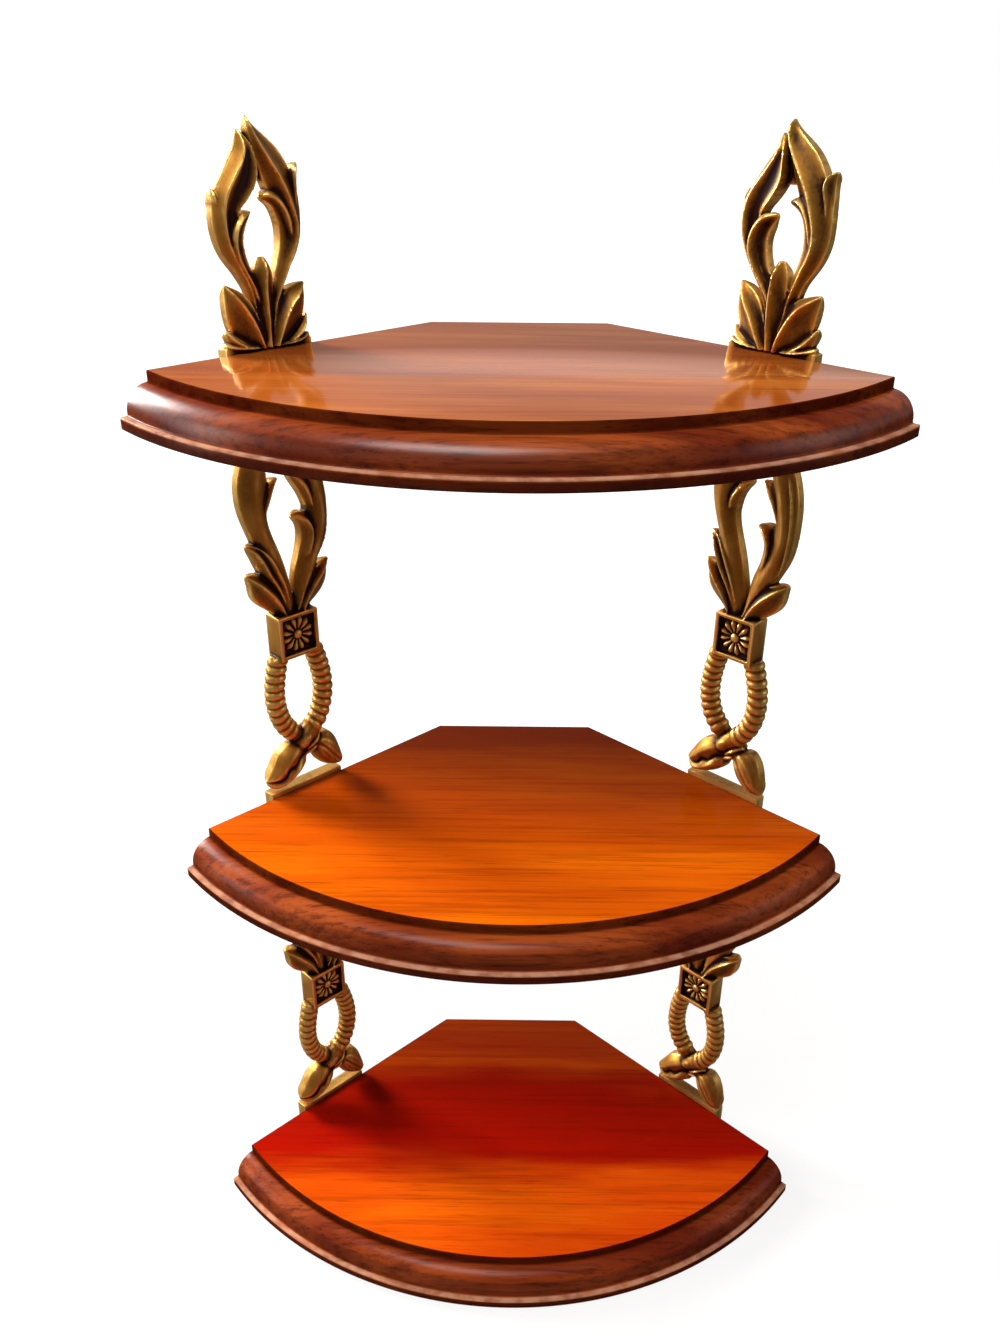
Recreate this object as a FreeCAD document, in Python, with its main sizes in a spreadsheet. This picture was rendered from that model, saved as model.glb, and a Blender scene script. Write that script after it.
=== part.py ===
"""Corner wall shelf: moulded boards carried between two ornamental cast side panels.

Frame: +Z up, +Y towards the corner of the room, origin under the bottom board's middle.
Lengths are in millimetres. A side panel is modelled lying along X, seen from the room:
x to the viewer's right, y from the boards' edges (0) to the wall, z up from the bottom.
Its ornament stands into the room, in front of the boards' edges, to negative y.
"""
import FreeCAD
import Part
import Sketcher
import math
import os

SIZES = {
    # Boards
    "board_thickness": 19.0,
    "shelf_pitch": 195.0,
    "back_width": 75.0,
    "shelf_depth": 174.5,
    "front_radius": 180.0,
    "quirk_height": 4.0,
    "ovolo_radius": 9.5,
    "fillet_height": 4.5,
    "fillet_projection": 3.0,
    # Side panels
    "panel_thickness": 6.0,
    "panel_relief": 4.0,
    "relief_clearance": 0.5,
    "panel_setback": 82.0,
    "bar_length": 39.0,
    "bar_rise": 2.0,
    "loop_height": 64.5,
    "loop_width": 34.0,
    "bud_height": 16.125,
    "strand_diameter": 9.2,
    "ring_depth": 0.9,
    "block_size": 20.0,
    "block_depth": 9.8,
    "block_border": 1.8,
    "block_recess": 2.4,
    "flame_width": 42.0,
    "crest_height": 80.0,
    "crest_width": 38.5,
    "leaf_edge": 5.0,
    # Fastenings
    "screw_diameter": 3.5,
    "screw_length": 30.0,
    "screw_head": 7.0,
    "screw_spacing": 27.0,
    "fit_clearance": 0.1,
    "plate_width": 12.0,
    "plate_length": 25.0,
    "plate_thickness": 1.5,
    "plate_rise": 5.2,
    "keyhole_entry": 8.0,
    "keyhole_slot": 4.2,
    "keyhole_travel": 5.5,
    "keyhole_pocket": 3.0,
    "plate_screw_diameter": 2.2,
    "plate_screw_length": 5.0,
    "plate_screw_head": 4.0,
    "plate_screw_margin": 3.0,
}
BOARDS = ("bottom", "middle", "top")
SIDES = {"left": -1, "right": 1}
RINGS = 11
STRAND_SIDES = 10
PETALS = 12
CUT_MARGIN = 1.0
BACK_STEP = 0.05
LOFT_DEGREE = 3

# Ornament outlines. A leaf is a spine, the half width at each of its points and its ridge's
# place across the leaf (-1 left edge, 1 right edge). Spines and half widths are shares of
# the motif's height and half width, read off the photograph.
FLAME_LEAVES = {
    "right_stem": (((0.05, 0.05), (0.42, 0.22), (0.74, 0.42), (0.77, 0.57), (0.48, 0.78), (0.05, 1.01)),
                   (0.16, 0.22, 0.24, 0.24, 0.23, 0.14), 0.1),
    "left_stem": (((-0.14, 0.05), (-0.36, 0.22), (-0.62, 0.40), (-0.76, 0.56), (-0.50, 0.77), (-0.06, 1.01)),
                  (0.16, 0.21, 0.23, 0.24, 0.23, 0.14), -0.1),
    "right_inner_spur": (((0.52, 0.30), (0.33, 0.39), (0.13, 0.46)), (0.17, 0.13, 0.03), 0.0),
    "right_upper_spur": (((0.66, 0.52), (0.40, 0.61), (0.20, 0.67)), (0.15, 0.12, 0.03), 0.0),
    "left_upper_spur": (((-0.64, 0.54), (-0.33, 0.62), (-0.12, 0.66)), (0.15, 0.12, 0.03), 0.0),
    "right_leaf": (((-0.05, -0.02), (0.29, 0.09), (0.62, 0.15), (0.92, 0.21)), (0.12, 0.25, 0.23, 0.03), 0.2),
    "left_leaf": (((-0.26, -0.02), (-0.55, 0.08), (-0.79, 0.14), (-0.95, 0.21)), (0.12, 0.21, 0.19, 0.03), 0.0),
    "left_second_leaf": (((-0.22, 0.05), (-0.46, 0.16), (-0.68, 0.26), (-0.91, 0.36)),
                         (0.12, 0.16, 0.14, 0.03), 0.0),
}
CREST_LEAVES = {
    "right_flame": (((0.22, 0.20), (0.58, 0.36), (0.74, 0.50), (0.60, 0.67), (0.30, 0.81), (-0.10, 1.0)),
                    (0.12, 0.22, 0.27, 0.27, 0.24, 0.02), -0.3),
    "left_flame": (((-0.28, 0.22), (-0.58, 0.36), (-0.74, 0.51), (-0.62, 0.66), (-0.40, 0.79), (-0.27, 0.93)),
                   (0.12, 0.21, 0.27, 0.27, 0.22, 0.02), 0.3),
    "left_inner_spur": (((-0.66, 0.41), (-0.42, 0.51), (-0.15, 0.57)), (0.16, 0.13, 0.03), 0.0),
    "right_inner_spur": (((0.62, 0.49), (0.36, 0.60), (0.05, 0.65)), (0.13, 0.10, 0.03), 0.0),
    "right_outer_spur": (((0.77, 0.58), (0.83, 0.69), (0.80, 0.78)), (0.15, 0.12, 0.03), 0.0),
    "left_base_leaf": (((-0.20, -0.05), (-0.47, 0.06), (-0.67, 0.16), (-0.82, 0.255)),
                       (0.12, 0.20, 0.20, 0.03), 0.0),
    "centre_base_leaf": (((-0.10, -0.05), (-0.09, 0.12), (-0.05, 0.25), (0.0, 0.375)),
                         (0.14, 0.19, 0.18, 0.06), 0.0),
    "right_base_leaf": (((0.03, -0.05), (0.35, 0.08), (0.62, 0.16), (0.90, 0.235)),
                        (0.12, 0.26, 0.26, 0.03), 0.1),
    "right_low_leaf": (((0.40, -0.05), (0.70, 0.02), (0.94, 0.085)), (0.12, 0.15, 0.03), 0.0),
    "left_low_leaf": (((-0.40, -0.05), (-0.70, 0.02), (-0.93, 0.06)), (0.12, 0.15, 0.03), 0.0),
}
STALK_LEAVES = {
    "left_stalk": (((0.24, 0.39), (-0.18, 0.31), (-0.47, 0.24)), (0.24, 0.24, 0.25), 0.0),
    "right_stalk": (((-0.24, 0.39), (0.18, 0.31), (0.50, 0.24)), (0.24, 0.24, 0.26), 0.0),
}
BUD_LEAVES = {
    "left_upper_sepal": (((-0.30, 1.06), (-0.65, 0.84), (-1.0, 0.5), (-1.21, 0.28)), (0.20, 0.27, 0.21, 0.04), 0.0),
    "left_lower_sepal": (((-0.18, 0.8), (-0.53, 0.5), (-0.82, 0.22), (-1.06, 0.04)), (0.17, 0.25, 0.22, 0.04), 0.0),
    "right_bud": (((0.18, 1.0), (0.59, 0.68), (0.91, 0.4), (1.22, 0.12)), (0.24, 0.45, 0.40, 0.06), 0.0),
}
# Centre line of the ringed strand on the right of the loop, in the same shares.
STRAND_SPINE = ((0.48, 1.03), (0.71, 0.84), (0.765, 0.68), (0.68, 0.53), (0.49, 0.40), (0.15, 0.30))

doc = FreeCAD.newDocument("corner_wall_shelf")


def make_sheet():
    """Write the driving dimensions into the document's sheet and name each cell."""
    table = doc.addObject("Spreadsheet::Sheet", "sizes")
    for row, (name, value) in enumerate(SIZES.items(), start=1):
        table.set(f"A{row}", name)
        table.set(f"B{row}", str(value))
        table.setAlias(f"B{row}", name)
    doc.recompute()
    return table


sheet = make_sheet()


def size(name):
    """Read one driving dimension from the sheet."""
    return float(getattr(sheet, name))


def sheet_formula(formula):
    """Make a formula of plain size names read them from the sheet."""
    words = formula.replace("(", " ( ").replace(")", " ) ").split()
    return " ".join(f"sizes.{word}" if word in SIZES else word for word in words)


def bind(item, **formulas):
    """Tie properties to formulas of size names; the name at_x stands for Placement.Base.x."""
    for prop, formula in formulas.items():
        item.setExpression(prop.replace("at_", "Placement.Base."), sheet_formula(formula))
    return item


def primitive(kind, name, **formulas):
    """Add a Part primitive tied to the sheet."""
    return bind(doc.addObject("Part::" + kind, name), **formulas)


def facing_room(item):
    """Turn a piece built along +Z so that it points from the wall into the room."""
    item.Placement.Rotation = FreeCAD.Rotation(FreeCAD.Vector(1, 0, 0), 90)
    return item


def fuse(name, pieces):
    """Fuse several solids into one."""
    joined = doc.addObject("Part::MultiFuse", name)
    joined.Shapes = pieces
    joined.Refine = False
    return joined


def cut(name, base, tools):
    """Cut a set of tools out of a solid."""
    result = doc.addObject("Part::Cut", name)
    result.Base = base
    result.Tool = tools[0] if len(tools) == 1 else fuse(name + "_tools", tools)
    return result


def copy_of(name, source, **formulas):
    """Place a copy of a finished piece."""
    link = doc.addObject("App::Link", name)
    link.LinkedObject = source
    return bind(link, **formulas)


def origin_plane(body, role):
    """Find one of a body's own origin planes."""
    return next(plane for plane in body.Origin.OriginFeatures if plane.Role == role)


def new_sketch(body, name, role):
    """Start a sketch on one of the body's origin planes."""
    sketch = body.newObject("Sketcher::SketchObject", name)
    sketch.AttachmentSupport = [(origin_plane(body, role), "")]
    sketch.MapMode = "FlatFace"
    return sketch


def constrain(sketch, kind, *where):
    """Add a geometric constraint."""
    sketch.addConstraint(Sketcher.Constraint(kind, *where))


def dimension(sketch, kind, where, formula):
    """Add a dimension tied to the sheet."""
    value = sketch.evalExpression(sheet_formula(formula))
    index = sketch.addConstraint(Sketcher.Constraint(kind, *where, float(value)))
    bind(sketch, **{f"Constraints[{index}]": formula})


def board_outline(body):
    """Sketch the board's plan: cut-off corner, two straight edges at right angles, round front."""
    half_back = size("back_width") / 2
    back = size("shelf_depth") / 2
    radius = size("front_radius")
    centre = FreeCAD.Vector(0, radius - back, 0)
    # Run of a 45 degree edge from the back corner to the arc.
    lead = half_back + centre.y - back
    run = (math.sqrt(2 * radius ** 2 - (half_back + back - centre.y) ** 2) - lead) / 2
    left_back, right_back = FreeCAD.Vector(-half_back, back, 0), FreeCAD.Vector(half_back, back, 0)
    right_front = FreeCAD.Vector(half_back + run, back - run, 0)
    left_front = FreeCAD.Vector(-half_back - run, back - run, 0)
    angle = math.atan2(right_front.y - centre.y, right_front.x)
    circle = Part.Circle(centre, FreeCAD.Vector(0, 0, 1), radius)

    sketch = new_sketch(body, "board_outline", "XY_Plane")
    sketch.addGeometry(Part.LineSegment(left_back, right_back))
    sketch.addGeometry(Part.LineSegment(right_back, right_front))
    sketch.addGeometry(Part.ArcOfCircle(circle, -math.pi - angle, angle))
    sketch.addGeometry(Part.LineSegment(left_front, left_back))
    constrain(sketch, "Coincident", 0, 2, 1, 1)
    constrain(sketch, "Coincident", 1, 2, 2, 2)
    constrain(sketch, "Coincident", 2, 1, 3, 1)
    constrain(sketch, "Coincident", 3, 2, 0, 1)
    constrain(sketch, "Symmetric", 0, 1, 0, 2, -2)
    constrain(sketch, "PointOnObject", 2, 3, -2)
    constrain(sketch, "Horizontal", 2, 1, 2, 2)
    constrain(sketch, "Perpendicular", 1, 3)
    dimension(sketch, "DistanceX", (0, 1, 0, 2), "back_width")
    dimension(sketch, "DistanceY", (-1, 1, 0, 1), "shelf_depth / 2")
    dimension(sketch, "Radius", (2,), "front_radius")
    dimension(sketch, "DistanceY", (-1, 1, 2, 3), "front_radius - shelf_depth / 2")
    return sketch


def moulding_outline(body):
    """Sketch what the cutter takes off the front edge above the fillet: a quirked ovolo."""
    top = size("board_thickness")
    front = -size("shelf_depth") / 2
    quirk = FreeCAD.Vector(front + size("fillet_projection") + size("ovolo_radius"), top - size("quirk_height"), 0)
    middle = quirk - FreeCAD.Vector(0, size("ovolo_radius"), 0)
    ovolo_foot = middle - FreeCAD.Vector(size("ovolo_radius"), 0, 0)
    above = FreeCAD.Vector(quirk.x, top + CUT_MARGIN, 0)
    outside = FreeCAD.Vector(front - CUT_MARGIN, top + CUT_MARGIN, 0)
    ledge_outside = FreeCAD.Vector(outside.x, size("fillet_height"), 0)
    ledge = FreeCAD.Vector(ovolo_foot.x, ledge_outside.y, 0)
    axis_x = size("front_radius") + front
    quarter = Part.Circle(middle, FreeCAD.Vector(0, 0, 1), size("ovolo_radius"))

    sketch = new_sketch(body, "moulding_outline", "YZ_Plane")
    sketch.addGeometry(Part.LineSegment(outside, above))
    sketch.addGeometry(Part.LineSegment(above, quirk))
    sketch.addGeometry(Part.ArcOfCircle(quarter, math.pi / 2, math.pi))
    sketch.addGeometry(Part.LineSegment(ovolo_foot, ledge))
    sketch.addGeometry(Part.LineSegment(ledge, ledge_outside))
    sketch.addGeometry(Part.LineSegment(ledge_outside, outside))
    axis_line = Part.LineSegment(FreeCAD.Vector(axis_x, 0, 0), FreeCAD.Vector(axis_x, top, 0))
    sketch.addGeometry(axis_line, True)
    for first, first_end, second, second_end in (
            (0, 2, 1, 1), (1, 2, 2, 1), (2, 2, 3, 1), (3, 2, 4, 1), (4, 2, 5, 1), (5, 2, 0, 1)):
        constrain(sketch, "Coincident", first, first_end, second, second_end)
    for level in (0, 4):
        constrain(sketch, "Horizontal", level)
    for upright in (1, 3, 5, 6):
        constrain(sketch, "Vertical", upright)
    constrain(sketch, "Vertical", 2, 3, 2, 1)
    constrain(sketch, "Horizontal", 2, 3, 2, 2)
    constrain(sketch, "PointOnObject", 6, 1, -1)
    dimension(sketch, "Radius", (2,), "ovolo_radius")
    dimension(sketch, "DistanceY", (-1, 1, 4, 1), "fillet_height")
    dimension(sketch, "DistanceY", (-1, 1, 1, 2), "board_thickness - quirk_height")
    dimension(sketch, "DistanceY", (-1, 1, 0, 1), f"board_thickness + {CUT_MARGIN}")
    dimension(sketch, "DistanceX", (1, 2, -1, 1), "shelf_depth / 2 - fillet_projection - ovolo_radius")
    dimension(sketch, "DistanceX", (5, 1, -1, 1), f"shelf_depth / 2 + {CUT_MARGIN}")
    dimension(sketch, "DistanceX", (-1, 1, 6, 1), "front_radius - shelf_depth / 2")
    dimension(sketch, "DistanceY", (6, 1, 6, 2), "board_thickness")
    return sketch


def on_wall(item, side, along, depth, height):
    """Place a piece by its panel frame: along the wall, away from the boards' edges, and up."""
    turn = FreeCAD.Rotation(FreeCAD.Vector(0, 0, 1), -45 * side)
    item.Placement.Rotation = turn.multiply(item.Placement.Rotation)
    slope = math.sqrt(0.5)
    return bind(
        item,
        at_x=f"{side} * (back_width / 2 + (panel_setback + {depth}) * {slope}) + ({along}) * {slope}",
        at_y=f"shelf_depth / 2 + ({depth} - panel_setback - {side} * ({along})) * {slope}",
        at_z=height)


def screw_places(side_sign):
    """The two places along a bar where board screws go through it."""
    return {"front": f"{side_sign} * screw_spacing / 2", "back": f"{-side_sign} * screw_spacing / 2"}


def make_board():
    """One board: padded plan, moulded front, and a pilot bore for each screw in its edges."""
    body = doc.addObject("PartDesign::Body", "board_blank")
    pad = body.newObject("PartDesign::Pad", "board_pad")
    pad.Profile = board_outline(body)
    bind(pad, Length="board_thickness")
    doc.recompute()
    padded = pad.Shape.Volume
    groove = body.newObject("PartDesign::Groove", "moulding_cut")
    profile = moulding_outline(body)
    groove.Profile = profile
    groove.ReferenceAxis = (profile, ["Axis0"])
    groove.Angle = 360
    body.Tip = groove
    doc.recompute()
    if groove.Shape.Volume >= padded:
        raise RuntimeError("the moulding cut takes nothing off the board")
    bores = []
    for side_name, side in SIDES.items():
        for place, along in screw_places(side).items():
            bore = primitive("Cylinder", f"{side_name}_{place}_pilot",
                             Radius="screw_diameter / 2 + fit_clearance",
                             Height="screw_length + fit_clearance")
            on_wall(facing_room(bore), side, along, "panel_thickness", "board_thickness / 2")
            bores.append(bore)
    return cut("board", body, bores)


def make_screw(name, prefix):
    """A countersunk wood screw, head at its origin and point along +Z."""
    diameter, length, head = (f"{prefix}_{part}" for part in ("diameter", "length", "head"))
    cone = primitive("Cone", name + "_head", Radius1=f"{head} / 2", Radius2=f"{diameter} / 2",
                     Height=f"( {head} - {diameter} ) / 2")
    shank = primitive("Cylinder", name + "_shank", Radius=f"{diameter} / 2", Height=f"{length} - {diameter}")
    point = primitive("Cone", name + "_point", Radius1=f"{diameter} / 2", Radius2=f"{diameter} / 12",
                      Height=diameter, at_z=f"{length} - {diameter}")
    return fuse(name, [cone, shank, point])


def screw_hole(name, prefix, depth, along, height, face):
    """Cutting tools of one countersunk hole that starts at a face of the panel's frame."""
    diameter, head = f"{prefix}_diameter", f"{prefix}_head"
    cone = primitive("Cone", name + "_sink", Radius1=f"{head} / 2 + fit_clearance",
                     Radius2=f"{diameter} / 2 + fit_clearance", Height=f"( {head} - {diameter} ) / 2")
    bore = primitive("Cylinder", name + "_bore", Radius=f"{diameter} / 2 + fit_clearance", Height=depth)
    return [bind(facing_room(tool), at_x=along, at_y=face, at_z=height) for tool in (cone, bore)]


def leaf_solid(spec, half_width, base, height, overshoot):
    """Loft a leaf along its spine: flat back, upright edges and a ridge that sinks at the tip."""
    spine, widths, ridge = spec
    back = size("panel_thickness") + overshoot
    edge = size("panel_thickness") - size("leaf_edge")
    front = overshoot - size("panel_relief")
    points = [FreeCAD.Vector(x * half_width, 0, base + z * height) for x, z in spine]
    curve = Part.BSplineCurve()
    curve.interpolate(points)
    sections = []
    for point, share in zip(points, widths):
        along = curve.getD1(curve.parameter(point))[1].normalize()
        across = FreeCAD.Vector(along.z, 0, -along.x) * (share * half_width)
        crown = edge + (front - edge) * share / max(widths)
        corners = [point + across * place + FreeCAD.Vector(0, depth, 0)
                   for place, depth in ((-1, back), (1, back), (1, edge), (ridge, crown), (-1, edge))]
        sections.append(Part.makePolygon(corners + corners[:1]))
    return Part.makeLoft(sections, True, False, False, LOFT_DEGREE)


def make_leaves(prefix, leaves, width, base, height, first=1):
    """Make every leaf of one motif. Backs differ by a hair so that no two faces coincide."""
    made = []
    for order, (name, spec) in enumerate(leaves.items(), start=first):
        leaf = doc.addObject("Part::Feature", f"{prefix}_{name}")
        leaf.Shape = leaf_solid(spec, width / 2, base, height, order * BACK_STEP)
        made.append(leaf)
    return made


def strand_solid(mirror, depth, base):
    """Loft one ringed strand of the loop through rings and the grooves between them."""
    half_width, height = size("loop_width") / 2, size("loop_height")
    points = [FreeCAD.Vector(mirror * x * half_width, depth, base + z * height) for x, z in STRAND_SPINE]
    curve = Part.BSplineCurve()
    curve.interpolate(points)
    sections = []
    count = 2 * RINGS + 1
    for index in range(count):
        share = index / (count - 1)
        parameter = curve.FirstParameter + share * (curve.LastParameter - curve.FirstParameter)
        centre, along = curve.getD1(parameter)
        along = along.normalize()
        across = FreeCAD.Vector(along.z, 0, -along.x)
        radius = size("strand_diameter") / 2 - (0 if index % 2 else size("ring_depth"))
        corners = []
        for side in range(STRAND_SIDES):
            turn = 2 * math.pi * side / STRAND_SIDES
            corners.append(centre + across * (radius * math.cos(turn))
                           + FreeCAD.Vector(0, radius * math.sin(turn), 0))
        sections.append(Part.makePolygon(corners + corners[:1]))
    return Part.makeLoft(sections, True, True)


def make_strands(base):
    """The crossed pair of ringed strands: the right one runs in front of the left one."""
    radius = size("strand_diameter") / 2
    depths = {"right": radius + BACK_STEP - size("panel_relief"),
              "left": size("panel_thickness") - radius - BACK_STEP}
    made = []
    for name, depth in depths.items():
        strand = doc.addObject("Part::Feature", f"{name}_strand")
        strand.Shape = strand_solid(SIDES[name], depth, base)
        made.append(strand)
    return made


def make_block():
    """The square block with a sunk field, and a rosette of petals round a boss."""
    foot = "board_thickness + bar_rise + loop_height"
    front = "panel_thickness - block_depth"
    cube = primitive("Box", "block_body", Length="block_size", Width="block_depth", Height="block_size",
                     at_x="0 - block_size / 2", at_y=front, at_z=foot)
    field = primitive("Box", "block_field", Length="block_size - 2 * block_border",
                      Width="block_recess + 1", Height="block_size - 2 * block_border",
                      at_x="block_border - block_size / 2", at_y=f"{front} - 1", at_z=f"{foot} + block_border")
    floor = size("panel_thickness") - size("block_depth") + size("block_recess")
    middle = size("board_thickness") + size("bar_rise") + size("loop_height") + size("block_size") / 2
    reach = size("block_size") / 2 - size("block_border")
    sunk = size("block_recess") / 2
    petals = []
    for order in range(PETALS):
        petal = doc.addObject("Part::Feature", f"petal_{order + 1}")
        petal.Shape = petal_solid(reach, sunk)
        petal.Placement = FreeCAD.Placement(
            FreeCAD.Vector(0, floor, middle), FreeCAD.Rotation(FreeCAD.Vector(0, 1, 0), 360 * order / PETALS))
        petals.append(petal)
    boss = primitive("Cone", "rosette_boss", Radius1="block_size / 9", Radius2="block_size / 18",
                     Height="block_recess", at_y=f"{front} + block_recess * 1.2", at_z=f"{foot} + block_size / 2")
    facing_room(boss)
    return [cut("sunk_block", cube, [field])] + petals + [boss]


def petal_solid(reach, depth):
    """One petal of the rosette, a keel that widens outwards, sunk a little into the field."""
    sections = []
    for distance, half_width, lift in ((0.15, 0.05, 0.8), (0.7, 0.17, 1.0), (0.95, 0.06, 0.3)):
        corners = [FreeCAD.Vector(place * half_width * reach, level, distance * reach)
                   for place, level in ((-1, depth / 2), (1, depth / 2), (0, -lift * depth))]
        sections.append(Part.makePolygon(corners + corners[:1]))
    return Part.makeLoft(sections, True, True)


def trim(rough, name, foot, head):
    """Trim a motif at the wall, at the bars' fronts, and where it stands into the room between two heights."""
    behind = primitive("Box", name + "_mould", Length="flame_width + crest_width", Width="panel_thickness",
                       Height=f"{len(BOARDS) - 1} * shelf_pitch + board_thickness + crest_height",
                       at_x="0 - ( flame_width + crest_width ) / 2")
    before = primitive("Box", name + "_relief_mould", Length="flame_width + crest_width",
                       Width="panel_relief + panel_thickness", Height=f"{head} - ( {foot} )",
                       at_x="0 - ( flame_width + crest_width ) / 2", at_y="0 - panel_relief", at_z=foot)
    trimmed = doc.addObject("Part::Common", name)
    trimmed.Base = rough
    trimmed.Tool = fuse(name + "_moulds", [behind, before])
    trimmed.Refine = False
    return trimmed


def make_bay():
    """The ornament between two boards: buds, crossed strands, block, leaves and flame stems."""
    bar_top = size("board_thickness") + size("bar_rise")
    block_top = bar_top + size("loop_height") + size("block_size")
    flame_height = size("shelf_pitch") - block_top
    stalks = make_leaves("knot", STALK_LEAVES, size("loop_width"), bar_top, size("loop_height"))
    buds = make_leaves("bud", BUD_LEAVES, size("loop_width"), bar_top, size("bud_height"), len(stalks) + 1)
    flame = make_leaves("flame", FLAME_LEAVES, size("flame_width"), block_top, flame_height)
    rough = fuse("rough_bay", stalks + buds + make_strands(bar_top) + make_block() + flame)
    return trim(rough, "bay", "board_thickness + relief_clearance", "shelf_pitch - relief_clearance")


def make_crest():
    """The leaf crest that stands above the top board."""
    top_bar = (len(BOARDS) - 1) * size("shelf_pitch") + size("board_thickness") + size("bar_rise")
    height = size("crest_height") - size("bar_rise")
    leaves = make_leaves("crest", CREST_LEAVES, size("crest_width"), top_bar, height)
    top_face = f"{len(BOARDS) - 1} * shelf_pitch + board_thickness"
    return trim(fuse("rough_crest", leaves), "crest", f"{top_face} + bar_rise + relief_clearance",
                f"{top_face} + crest_height")


def hanger_heights():
    """Heights of the hanger plate's foot, its screws and its keyhole on a panel."""
    levels = len(BOARDS) - 1
    top = f"{levels} * shelf_pitch + board_thickness + bar_rise + plate_rise"
    return {
        "foot": f"{top} - plate_length",
        "upper_screw": f"{top} - plate_screw_margin",
        "lower_screw": f"{top} - plate_length + plate_screw_margin",
        "entry": f"{top} - plate_length / 2 - keyhole_travel / 2",
    }


def keyhole_tools(name, entry_height, face, depth):
    """Cutting tools of a keyhole: a round entry and a narrower slot that rises from it."""
    entry = primitive("Cylinder", name + "_entry", Radius="keyhole_entry / 2", Height=depth,
                      at_y=face, at_z=entry_height)
    slot_end = primitive("Cylinder", name + "_slot_end", Radius="keyhole_slot / 2", Height=depth,
                         at_y=face, at_z=f"{entry_height} + keyhole_travel")
    slot = primitive("Box", name + "_slot", Length="keyhole_slot", Height="keyhole_travel", Width=depth,
                     at_x="0 - keyhole_slot / 2", at_y=f"{face} - ( {depth} )", at_z=entry_height)
    return [facing_room(entry), facing_room(slot_end), slot]


def make_hanger_plate():
    """Keyhole plate in the panel's frame, flush with the panel's back."""
    heights = hanger_heights()
    strip = primitive("Box", "plate_strip", Length="plate_width", Width="plate_thickness", Height="plate_length",
                      at_x="0 - plate_width / 2", at_y="panel_thickness - plate_thickness", at_z=heights["foot"])
    tools = keyhole_tools("keyhole", heights["entry"], "panel_thickness", "plate_thickness")
    for end in ("upper", "lower"):
        tools += screw_hole(f"plate_{end}", "plate_screw", "plate_thickness", "0", heights[end + "_screw"],
                            "panel_thickness")
    return cut("hanger_plate", strip, tools)


def hanger_recess():
    """What the hanger plate, the wall screw's head and the plate's screws need in a panel's back."""
    heights = hanger_heights()
    seat = primitive("Box", "plate_seat", Length="plate_width + 2 * fit_clearance",
                     Width="plate_thickness", Height="plate_length + 2 * fit_clearance",
                     at_x="0 - plate_width / 2 - fit_clearance", at_y="panel_thickness - plate_thickness",
                     at_z=f"{heights['foot']} - fit_clearance")
    pocket = primitive("Box", "head_pocket", Length="keyhole_entry", Width="keyhole_pocket",
                       Height="keyhole_entry + keyhole_travel", at_x="0 - keyhole_entry / 2",
                       at_y="panel_thickness - plate_thickness - keyhole_pocket",
                       at_z=f"{heights['entry']} - keyhole_entry / 2")
    tools = [seat, pocket]
    for end in ("upper", "lower"):
        tools += screw_hole(f"pilot_{end}", "plate_screw", "plate_screw_length + fit_clearance", "0",
                            heights[end + "_screw"], "panel_thickness")
    return tools


def make_bar(board, level):
    """The bar behind one board, with a countersunk hole for each board screw."""
    foot = f"{level} * shelf_pitch"
    strip = primitive("Box", f"{board}_strip", Length="bar_length", Width="panel_thickness",
                      Height="board_thickness + bar_rise", at_x="0 - bar_length / 2", at_z=foot)
    tools = []
    for place, along in screw_places(1).items():
        tools += screw_hole(f"{board}_{place}", "screw", "panel_thickness", along,
                            f"{foot} + board_thickness / 2", "panel_thickness")
    return cut(f"{board}_bar", strip, tools)


def make_panel():
    """One side panel: bars, bays and a crest in one casting, with a seat for the hanger plate."""
    bars = [make_bar(board, level) for level, board in enumerate(BOARDS)]
    bay = make_bay()
    bays = [bay] + [copy_of(f"bay_on_{board}_bar", bay, at_z=f"{level} * shelf_pitch")
                    for level, board in enumerate(BOARDS[1:-1], start=1)]
    head = cut("panel_head", fuse("crest_on_bar", [bars[-1], make_crest()]), hanger_recess())
    return fuse("side_panel", bars[:-1] + bays + [head])


def place_nodes():
    """Place every piece of the assembly and return the nodes that are handed over."""
    board, panel = make_board(), make_panel()
    screw, plate_screw = make_screw("board_screw", "screw"), make_screw("plate_fixing", "plate_screw")
    plate = make_hanger_plate()
    nodes = [copy_of(f"{name}_board", board, at_z=f"{level} * shelf_pitch") for level, name in enumerate(BOARDS)]
    for side_name, side in SIDES.items():
        nodes.append(on_wall(copy_of(f"{side_name}_side_panel", panel), side, "0", "0", "0"))
        nodes.append(on_wall(copy_of(f"{side_name}_hanger_plate", plate), side, "0", "0", "0"))
        for end in ("upper", "lower"):
            fixing = facing_room(copy_of(f"{side_name}_{end}_hanger_screw", plate_screw))
            nodes.append(on_wall(fixing, side, "0", "panel_thickness", hanger_heights()[end + "_screw"]))
        for level, name in enumerate(BOARDS):
            for place, along in screw_places(side).items():
                fixing = facing_room(copy_of(f"{side_name}_{name}_{place}_screw", screw))
                nodes.append(on_wall(fixing, side, along, "panel_thickness",
                                     f"{level} * shelf_pitch + board_thickness / 2"))
    doc.recompute()
    return nodes


def export(nodes):
    """Check every object of the document, then write one file for each node."""
    for item in doc.Objects:
        if "Invalid" in item.State or "Error" in item.State:
            raise RuntimeError(f"{item.Name} failed to build: {item.State}")
    os.makedirs("parts", exist_ok=True)
    for node in nodes:
        shape = Part.getShape(node)
        if shape.isNull() or not shape.isValid() or len(shape.Solids) != 1:
            raise RuntimeError(f"{node.Label} is not one valid solid")
        shape.exportStep(f"parts/{node.Label}.step")
        print(f"{node.Label}: {shape.Volume:.0f} mm3")


export(place_nodes())
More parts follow.
